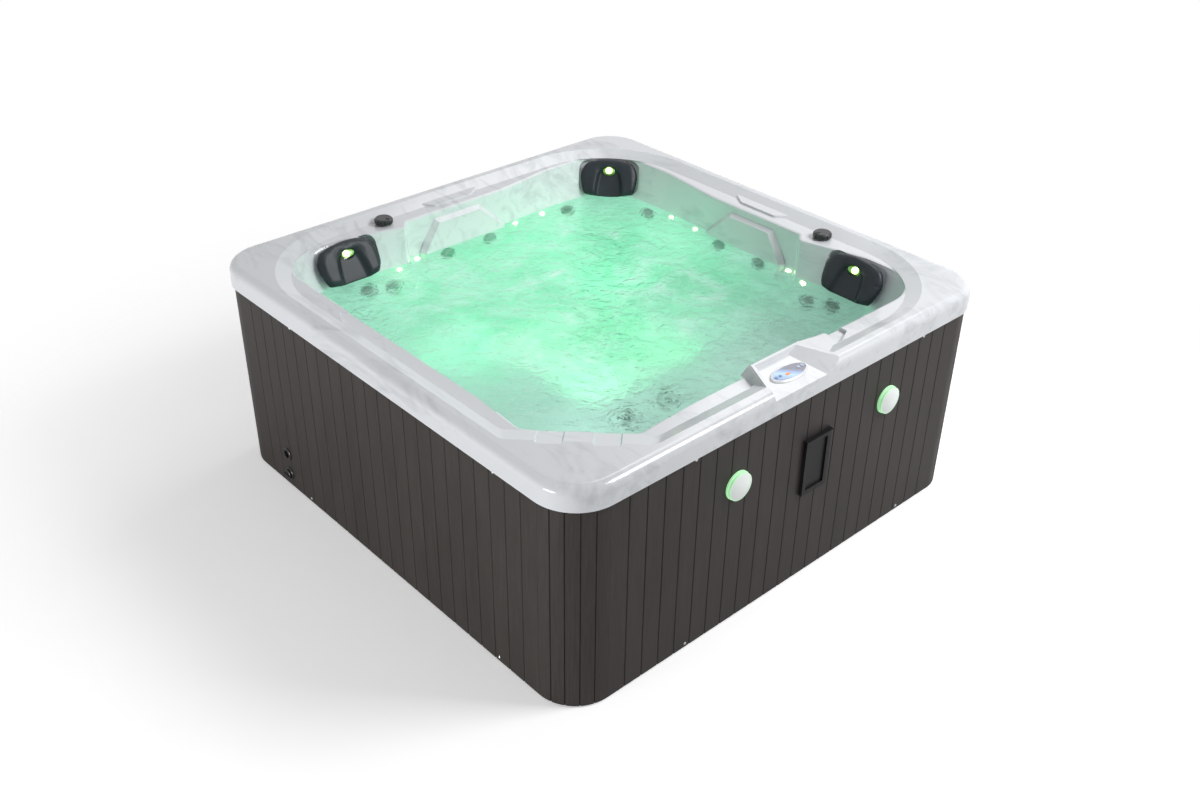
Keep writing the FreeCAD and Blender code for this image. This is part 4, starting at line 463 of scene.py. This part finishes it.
def panel_film():
    """Gloss film of the control panel: sky blue that runs out into navy on a slant."""
    material, tree, output = new_material("panel_film")
    shader = principled(tree, output, roughness=0.2, coat=0.6)
    low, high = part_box("control_face")
    width = high[0] - low[0]
    coords = add_node(tree, "ShaderNodeTexCoord")
    slant = add_node(tree, "ShaderNodeVectorMath", operation="DOT_PRODUCT")
    slant.inputs[1].default_value = (1.0 / width, PANEL_SLANT / width, 0.0)
    tree.links.new(coords.outputs["Object"], slant.inputs[0])
    start = (low[0] + PANEL_SLANT * (low[1] + high[1]) / 2.0) / width
    share = map_range(tree, slant.outputs["Value"], start, start + 1.0)
    grain = noise(tree, coords.outputs["Object"], scale=60.0, detail=2.0)
    uneven = combine(tree, "MULTIPLY_ADD", grain, PANEL_UNEVEN, share)
    stops = [(0.04, FACE_STEEL), (0.36, FACE_SKY), (0.52, FACE_BLUE), (0.68, FACE_NAVY)]
    tree.links.new(ramp(tree, uneven, stops), shader.inputs["Base Color"])
    return material


def lit_water():
    """Lit water: bent, tinted view of the seats, a milky painted glow over the footwell in place of the
    light of the lamps in the water, and a rippled gloss.
    """
    material, tree, output = new_material("lit_water")
    place = object_pattern(tree)
    swirl = noise(tree, place, scale=4.0, detail=6.0, roughness=0.62, distortion=1.6)
    ripple = noise(tree, place, scale=22.0, roughness=0.55, distortion=1.0)
    normal = bump(tree, ripple, strength=1.0, depth=RIPPLE_DEPTH)

    clear = add_node(tree, "ShaderNodeBsdfTransparent", Color=(*WATER_TINT, 1.0))
    bent = add_node(tree, "ShaderNodeBsdfRefraction", IOR=WATER_BEND, Color=(*WATER_TINT, 1.0))
    bent.inputs["Roughness"].default_value = WATER_ROUGHNESS
    tree.links.new(normal, bent.inputs["Normal"])
    rays = add_node(tree, "ShaderNodeLightPath")
    view = mix_shaders(tree, rays.outputs["Is Camera Ray"], clear.outputs["BSDF"], bent.outputs["BSDF"])

    # Painted glow: the water gives off light of its own, green over the footwell and mint further out,
    # in place of the light of its lamps
    away = distance(tree, place, GLOW_MIDDLE)
    lit = add_node(tree, "ShaderNodeMixRGB", Color1=(*PAINTED_GLOW_MINT, 1.0))
    green = map_range(tree, away, GREEN_REACH, GREEN_FULL, steps="SMOOTHSTEP")
    tree.links.new(green, lit.inputs["Fac"])
    swirl_colour = ramp(tree, swirl, [(0.36, PAINTED_GLOW_GREEN), (0.62, PAINTED_FOAM_GLOW), (0.74, PAINTED_GLOW_WHITE)])
    tree.links.new(swirl_colour, lit.inputs["Color2"])
    glow = add_node(tree, "ShaderNodeEmission")
    tree.links.new(lit.outputs["Color"], glow.inputs["Color"])
    share = map_range(tree, away, GLOW_REACH, 0.0, low=GLOW_LEAST, high=GLOW_MOST, steps="SMOOTHSTEP")
    patches = ramp(tree, swirl, [(0.30, (GLOW_PATCH,) * 3), (0.62, (1.0,) * 3)])
    patchy = combine(tree, "MULTIPLY", share, patches)
    body = mix_shaders(tree, patchy, view, glow.outputs["Emission"])

    gloss = add_node(tree, "ShaderNodeBsdfGlossy", Roughness=WATER_ROUGHNESS)
    tree.links.new(normal, gloss.inputs["Normal"])
    edge = add_node(tree, "ShaderNodeFresnel", IOR=WATER_SHEEN)
    tree.links.new(normal, edge.inputs["Normal"])
    surface = mix_shaders(tree, edge.outputs["Fac"], body, gloss.outputs["BSDF"])
    tree.links.new(surface, output.inputs["Surface"])
    return material


# Dressing the part

def dress(node_name, material):
    """Give one CAD node its finish."""
    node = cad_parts[node_name]
    node.data.materials.clear()
    node.data.materials.append(material)


def dress_all():
    """Give each CAD node its finish; the headrests get theirs when they are made."""
    finishes = {
        "marbled_acrylic": marbled_acrylic(),
        "grained_cabinet": grained_cabinet(),
        "panel_film": panel_film(),
        "lit_nozzle": lit_nozzle(),
    }
    for name, (dark, light, roughness, changes) in PLAIN_FINISHES.items():
        finishes[name] = speckled(name, dark, light, roughness, **changes)
    for name, (colour, strength, body) in LIT_FINISHES.items():
        finishes[name] = glowing(name, colour, strength, body)
    for node_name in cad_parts:
        for start, finish in NODE_FINISHES.items():
            if node_name.startswith(start):
                dress(node_name, finishes[finish])


# Piece helpers

def deselect():
    """Leave no piece selected."""
    bpy.ops.object.select_all(action="DESELECT")


def only(piece):
    """Make one piece the selected and active one."""
    deselect()
    piece.select_set(True)
    bpy.context.view_layer.objects.active = piece


def add_modifier(piece, kind, **settings):
    """Modifier with its settings, left on the piece."""
    modifier = piece.modifiers.new(kind.lower(), kind)
    for name, value in settings.items():
        setattr(modifier, name, value)
    return modifier


def apply_modifier(piece, modifier):
    """Make a modifier's result the piece's own mesh."""
    only(piece)
    bpy.ops.object.modifier_apply(modifier=modifier.name)


# Headrest pillows

def capped(start, moved, most):
    """Where a point ends when it may move no further than a length."""
    step = moved - start
    if step.length > most:
        step = step.normalized() * most
    return start + step


def swell(piece):
    """Let the skin of a pad fill out under pressure, each point only so far."""
    rest = [vertex.co.copy() for vertex in piece.data.vertices]
    cloth = add_modifier(piece, "CLOTH")
    cloth.settings.use_pressure = True
    cloth.settings.uniform_pressure_force = PAD_PRESSURE
    cloth.settings.effector_weights.gravity = 0.0
    cloth.point_cache.frame_start = 1
    cloth.point_cache.frame_end = SWELL_FRAMES
    for number in range(1, SWELL_FRAMES + 1):
        bpy.context.scene.frame_set(number)
    apply_modifier(piece, cloth)
    bpy.context.scene.frame_set(1)
    for vertex, start in zip(piece.data.vertices, rest):
        vertex.co = capped(start, vertex.co, SWELL_MOST)


def eased(share):
    """Smooth step from 0 to 1."""
    held = min(max(share, 0.0), 1.0)
    return held * held * (3.0 - 2.0 * held)


def shoulder(share, width):
    """Quarter round from an edge at share 1 up to a level top."""
    inwards = min((1.0 - abs(share)) / width, 1.0)
    return math.sqrt(1.0 - (1.0 - inwards) ** 2)


def rounded(across, up, rounding):
    """Point of a square drawn in towards an oval at its corners."""
    return (across * (1.0 - rounding + rounding * math.sqrt(1.0 - up * up / 2.0)),
            up * (1.0 - rounding + rounding * math.sqrt(1.0 - across * across / 2.0)))


def pad_front(across, up):
    """Height of a headrest's front: two lobes that meet over a hollow which widens downwards."""
    half = HOLLOW_HALF - HOLLOW_FLARE * up
    between = eased((half - abs(across)) / HOLLOW_SOFT)
    below = eased((HOLLOW_START - up) / HOLLOW_RUN)
    return PAD_LOBE - PAD_HOLLOW * between * below


def pad_point(block, laps):
    """Place of a point of a 2 m block in the headrest: a plug in the seat under a lapped cap."""
    across, up, out = block
    if out < 0.0:
        side, rise = rounded(across, up, PLUG_ROUNDING)
        depth = PAD_BACK + (PAD_LIP - PAD_BACK) * (1.0 + out)
        return Vector((side * PLUG_REACH, rise * PLUG_RISE, depth))
    side, rise = rounded(across, up, TOP_ROUNDING if up > 0.0 else FOOT_ROUNDING)
    reach = laps[0] if across < 0.0 else laps[1]
    edge = PAD_LIP + PAD_LIP_THICK * out
    dome = shoulder(across, SIDE_SHOULDER) * shoulder(up, END_SHOULDER)
    height = edge + dome * (pad_front(across, up) - edge)
    return Vector((side * reach, rise * (PAD_TOP if up > 0.0 else PAD_FOOT), height))


def pad_seat(side):
    """Turn and place of a headrest: x along the wall, y up it and z out of it."""
    middle, way_out, lean = PAD_SEATS[side]
    angle = math.radians(lean)
    normal = Vector((-way_out[0] * math.cos(angle), -way_out[1] * math.cos(angle), math.sin(angle)))
    along = Vector((way_out[1], -way_out[0], 0.0))
    turn = Matrix((along, normal.cross(along), normal)).transposed().to_4x4()
    return Matrix.Translation((middle[0], middle[1], PAD_LEVEL)) @ turn


def nozzle_cutter(seat):
    """Oval bar through the place of a nozzle."""
    deselect()
    bpy.ops.mesh.primitive_cylinder_add(vertices=NOZZLE_HOLE_SIDES, radius=1.0, depth=NOZZLE_HOLE_LENGTH)
    cutter = bpy.context.active_object
    oval = Matrix.Diagonal((*NOZZLE_HOLE, 1.0, 1.0))
    cutter.data.transform(seat @ Matrix.Translation((0.0, NOZZLE_RISE, 0.0)) @ oval)
    return cutter


def headrest(side, laps, foam):
    """Foam headrest: a block shaped into lobes, holed for its nozzle and swelled under its skin."""
    seat = pad_seat(side)
    deselect()
    bpy.ops.mesh.primitive_cube_add(size=2.0)
    piece = bpy.context.active_object
    piece.name = "foam_pillow_" + side
    only(piece)
    bpy.ops.object.mode_set(mode="EDIT")
    bpy.ops.mesh.select_all(action="SELECT")
    bpy.ops.mesh.subdivide(number_cuts=PAD_CUTS)
    bpy.ops.object.mode_set(mode="OBJECT")
    for vertex in piece.data.vertices:
        vertex.co = seat @ pad_point(vertex.co, laps)
    cutter = nozzle_cutter(seat)
    apply_modifier(piece, add_modifier(piece, "BOOLEAN", operation="DIFFERENCE", object=cutter))
    bpy.data.objects.remove(cutter)
    apply_modifier(piece, add_modifier(piece, "REMESH", mode="VOXEL", voxel_size=PAD_VOXEL))
    swell(piece)
    apply_modifier(piece, add_modifier(piece, "SUBSURF", levels=1, render_levels=1))
    only(piece)
    bpy.ops.object.shade_smooth()
    piece.data.materials.clear()
    piece.data.materials.append(foam)
    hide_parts("pillow_" + side)
    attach(piece, "tub")


def headrests():
    """The three headrests; the outer edge of a side one laps over its seat."""
    foam = moulded_foam()
    headrest("left", (PAD_LAP, PAD_REACH), foam)
    headrest("back", (PAD_REACH, PAD_REACH), foam)
    headrest("right", (PAD_REACH, PAD_LAP), foam)


# Display of the control panel

def round_corners(plate, thick, radius, cuts):
    """Round the upright edges of a flat plate of a given thickness."""
    only(plate)
    bpy.ops.object.mode_set(mode="EDIT")
    bpy.ops.mesh.select_mode(type="EDGE")
    bpy.ops.mesh.select_all(action="DESELECT")
    bpy.ops.object.mode_set(mode="OBJECT")
    for edge in plate.data.edges:
        first, second = [plate.data.vertices[index].co for index in edge.vertices]
        edge.select = abs(first.z - second.z) > thick / 2.0
    bpy.ops.object.mode_set(mode="EDIT")
    bpy.ops.mesh.bevel(offset=radius, segments=cuts)
    bpy.ops.object.mode_set(mode="OBJECT")


def display_window():
    """Small lit window on the panel's film, with rounded corners."""
    low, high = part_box("control_face")
    tilt = math.atan2(high[2] - low[2] - PANEL_FILM, high[1] - low[1])
    thick = DISPLAY_SIZE[2]
    deselect()
    bpy.ops.mesh.primitive_cube_add(size=1.0)
    window = bpy.context.active_object
    window.name = "display_window"
    window.data.transform(Matrix.Diagonal((*DISPLAY_SIZE, 1.0)))
    round_corners(window, thick, DISPLAY_CORNER, DISPLAY_CORNER_CUTS)
    edges = add_modifier(window, "BEVEL", width=DISPLAY_EDGE, segments=DISPLAY_EDGE_CUTS,
                         limit_method="ANGLE")
    apply_modifier(window, edges)
    middle = Matrix.Translation((low + high) / 2.0) @ Matrix.Rotation(tilt, 4, "X")
    lift = (PANEL_FILM + thick) / 2.0
    window.data.transform(middle @ Matrix.Translation((*DISPLAY_PLACE, lift)))
    window.data.materials.append(glowing("lit_display", DISPLAY_ORANGE, DISPLAY_GLOW, DISPLAY_BODY))
    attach(window, "tub")


# Water in the basin, which is not a piece of the tub

def basin_water():
    """Level sheet of water whose edges lie hidden behind the shell's walls."""
    bpy.ops.mesh.primitive_grid_add(x_subdivisions=WATER_CUTS, y_subdivisions=WATER_CUTS,
                                    size=2.0 * WATER_HALF, location=(0.0, 0.0, WATER_LEVEL))
    water = bpy.context.active_object
    water.name = "water"
    only(water)
    bpy.ops.object.transform_apply(location=True, rotation=True, scale=True)
    water.data.materials.append(lit_water())
    bpy.ops.object.shade_smooth()


# Camera, light and floor

def set_camera():
    """Camera that took the photograph, by its place, its turn and its focal length."""
    data = bpy.data.cameras.new("camera")
    camera = bpy.data.objects.new("camera", data)
    bpy.context.collection.objects.link(camera)
    data.sensor_width = SENSOR_WIDTH
    data.lens = SENSOR_WIDTH * FOCAL_PIXELS / PHOTO_WIDTH
    data.clip_end = CAMERA_FAR
    yaw = math.radians(CAMERA_YAW)
    pitch = math.radians(CAMERA_PITCH)
    roll = math.radians(CAMERA_ROLL)
    back = Vector((math.sin(yaw) * math.cos(pitch), -math.cos(yaw) * math.cos(pitch), math.sin(pitch)))
    across = Vector((0.0, 0.0, 1.0)).cross(back).normalized()
    above = back.cross(across)
    right = across * math.cos(roll) + above * math.sin(roll)
    up = above * math.cos(roll) - across * math.sin(roll)
    turn = Matrix((right, up, back)).transposed().to_4x4()
    camera.matrix_world = Matrix.Translation(CAMERA_PLACE) @ turn
    bpy.context.scene.camera = camera


def soft_lamp(name, place, target, size, power):
    """Wide lamp that faces a point."""
    data = bpy.data.lights.new(name, "AREA")
    data.shape = "RECTANGLE"
    data.size = size[0]
    data.size_y = size[1]
    data.energy = power
    lamp = bpy.data.objects.new(name, data)
    bpy.context.collection.objects.link(lamp)
    lamp.location = place
    aim = Vector(target) - Vector(place)
    lamp.rotation_euler = aim.to_track_quat("-Z", "Y").to_euler()


def under_water(name, place, power, radius, colour):
    """Light in the water, from the lit fittings in the footwell and the walls."""
    data = bpy.data.lights.new(name, "POINT")
    data.energy = power
    data.shadow_soft_size = radius
    data.color = colour
    lamp = bpy.data.objects.new(name, data)
    bpy.context.collection.objects.link(lamp)
    lamp.location = place
    lamp.visible_camera = False
    lamp.visible_transmission = False
    lamp.visible_glossy = False


def set_world():
    """White background to look at, reflect and look through, with a dimmer light of its own."""
    world = bpy.data.worlds.new("studio")
    bpy.context.scene.world = world
    world.use_nodes = True
    tree = world.node_tree
    tree.nodes.clear()
    output = add_node(tree, "ShaderNodeOutputWorld")
    seen = add_node(tree, "ShaderNodeBackground", Color=(*BACKGROUND_WHITE, 1.0))
    lit = add_node(tree, "ShaderNodeBackground", Color=(*BACKGROUND_WHITE, 1.0), Strength=WORLD_LIGHT)
    rays = add_node(tree, "ShaderNodeLightPath")
    direct = combine(tree, "MAXIMUM", rays.outputs["Is Camera Ray"], rays.outputs["Is Glossy Ray"])
    clear = combine(tree, "MAXIMUM", direct, rays.outputs["Is Transmission Ray"])
    mixed = mix_shaders(tree, clear, lit.outputs["Background"], seen.outputs["Background"])
    tree.links.new(mixed, output.inputs["Surface"])


def set_light():
    """All lamps, in the studio and in the water, and the background."""
    for name, (place, target, size, power) in STUDIO_LAMPS.items():
        soft_lamp(name, place, target, size, power)
    for name, (place, power, radius, colour) in WATER_LIGHTS.items():
        under_water(name, place, power, radius, colour)
    set_world()


def floor_paint():
    """Pale paint, lifted a little to the eye, that runs out into nothing away from the tub."""
    material, tree, output = new_material("floor_paint")
    shader = add_node(tree, "ShaderNodeBsdfPrincipled", Roughness=0.9)
    place = object_pattern(tree)
    colour = ramp(tree, noise(tree, place, scale=3.0), [(0.3, FLOOR_DARK), (0.7, FLOOR_LIGHT)])
    tree.links.new(colour, shader.inputs["Base Color"])
    rays = add_node(tree, "ShaderNodeLightPath")
    lift = add_node(tree, "ShaderNodeEmission")
    seen = combine(tree, "MULTIPLY", rays.outputs["Is Camera Ray"], FLOOR_LIFT)
    tree.links.new(seen, lift.inputs["Strength"])
    paint = add_node(tree, "ShaderNodeAddShader")
    tree.links.new(shader.outputs["BSDF"], paint.inputs[0])
    tree.links.new(lift.outputs["Emission"], paint.inputs[1])
    away = add_node(tree, "ShaderNodeVectorMath", operation="LENGTH")
    tree.links.new(place, away.inputs[0])
    fade = map_range(tree, away.outputs["Value"], FLOOR_FADE, FLOOR_REACH, steps="SMOOTHSTEP")
    gone = add_node(tree, "ShaderNodeBsdfTransparent")
    mixed = mix_shaders(tree, fade, paint.outputs["Shader"], gone.outputs["BSDF"])
    tree.links.new(mixed, output.inputs["Surface"])
    return material


def set_floor():
    """Floor just under the tub, which keeps its shadow."""
    bpy.ops.mesh.primitive_plane_add(size=2.0 * FLOOR_REACH, location=(0.0, 0.0, -FLOOR_DROP))
    floor = bpy.context.active_object
    floor.name = "floor"
    floor.data.materials.append(floor_paint())


bpy.context.scene.view_settings.view_transform = "Standard"
set_camera()
set_light()
set_floor()
dress_all()
headrests()
display_window()
basin_water()
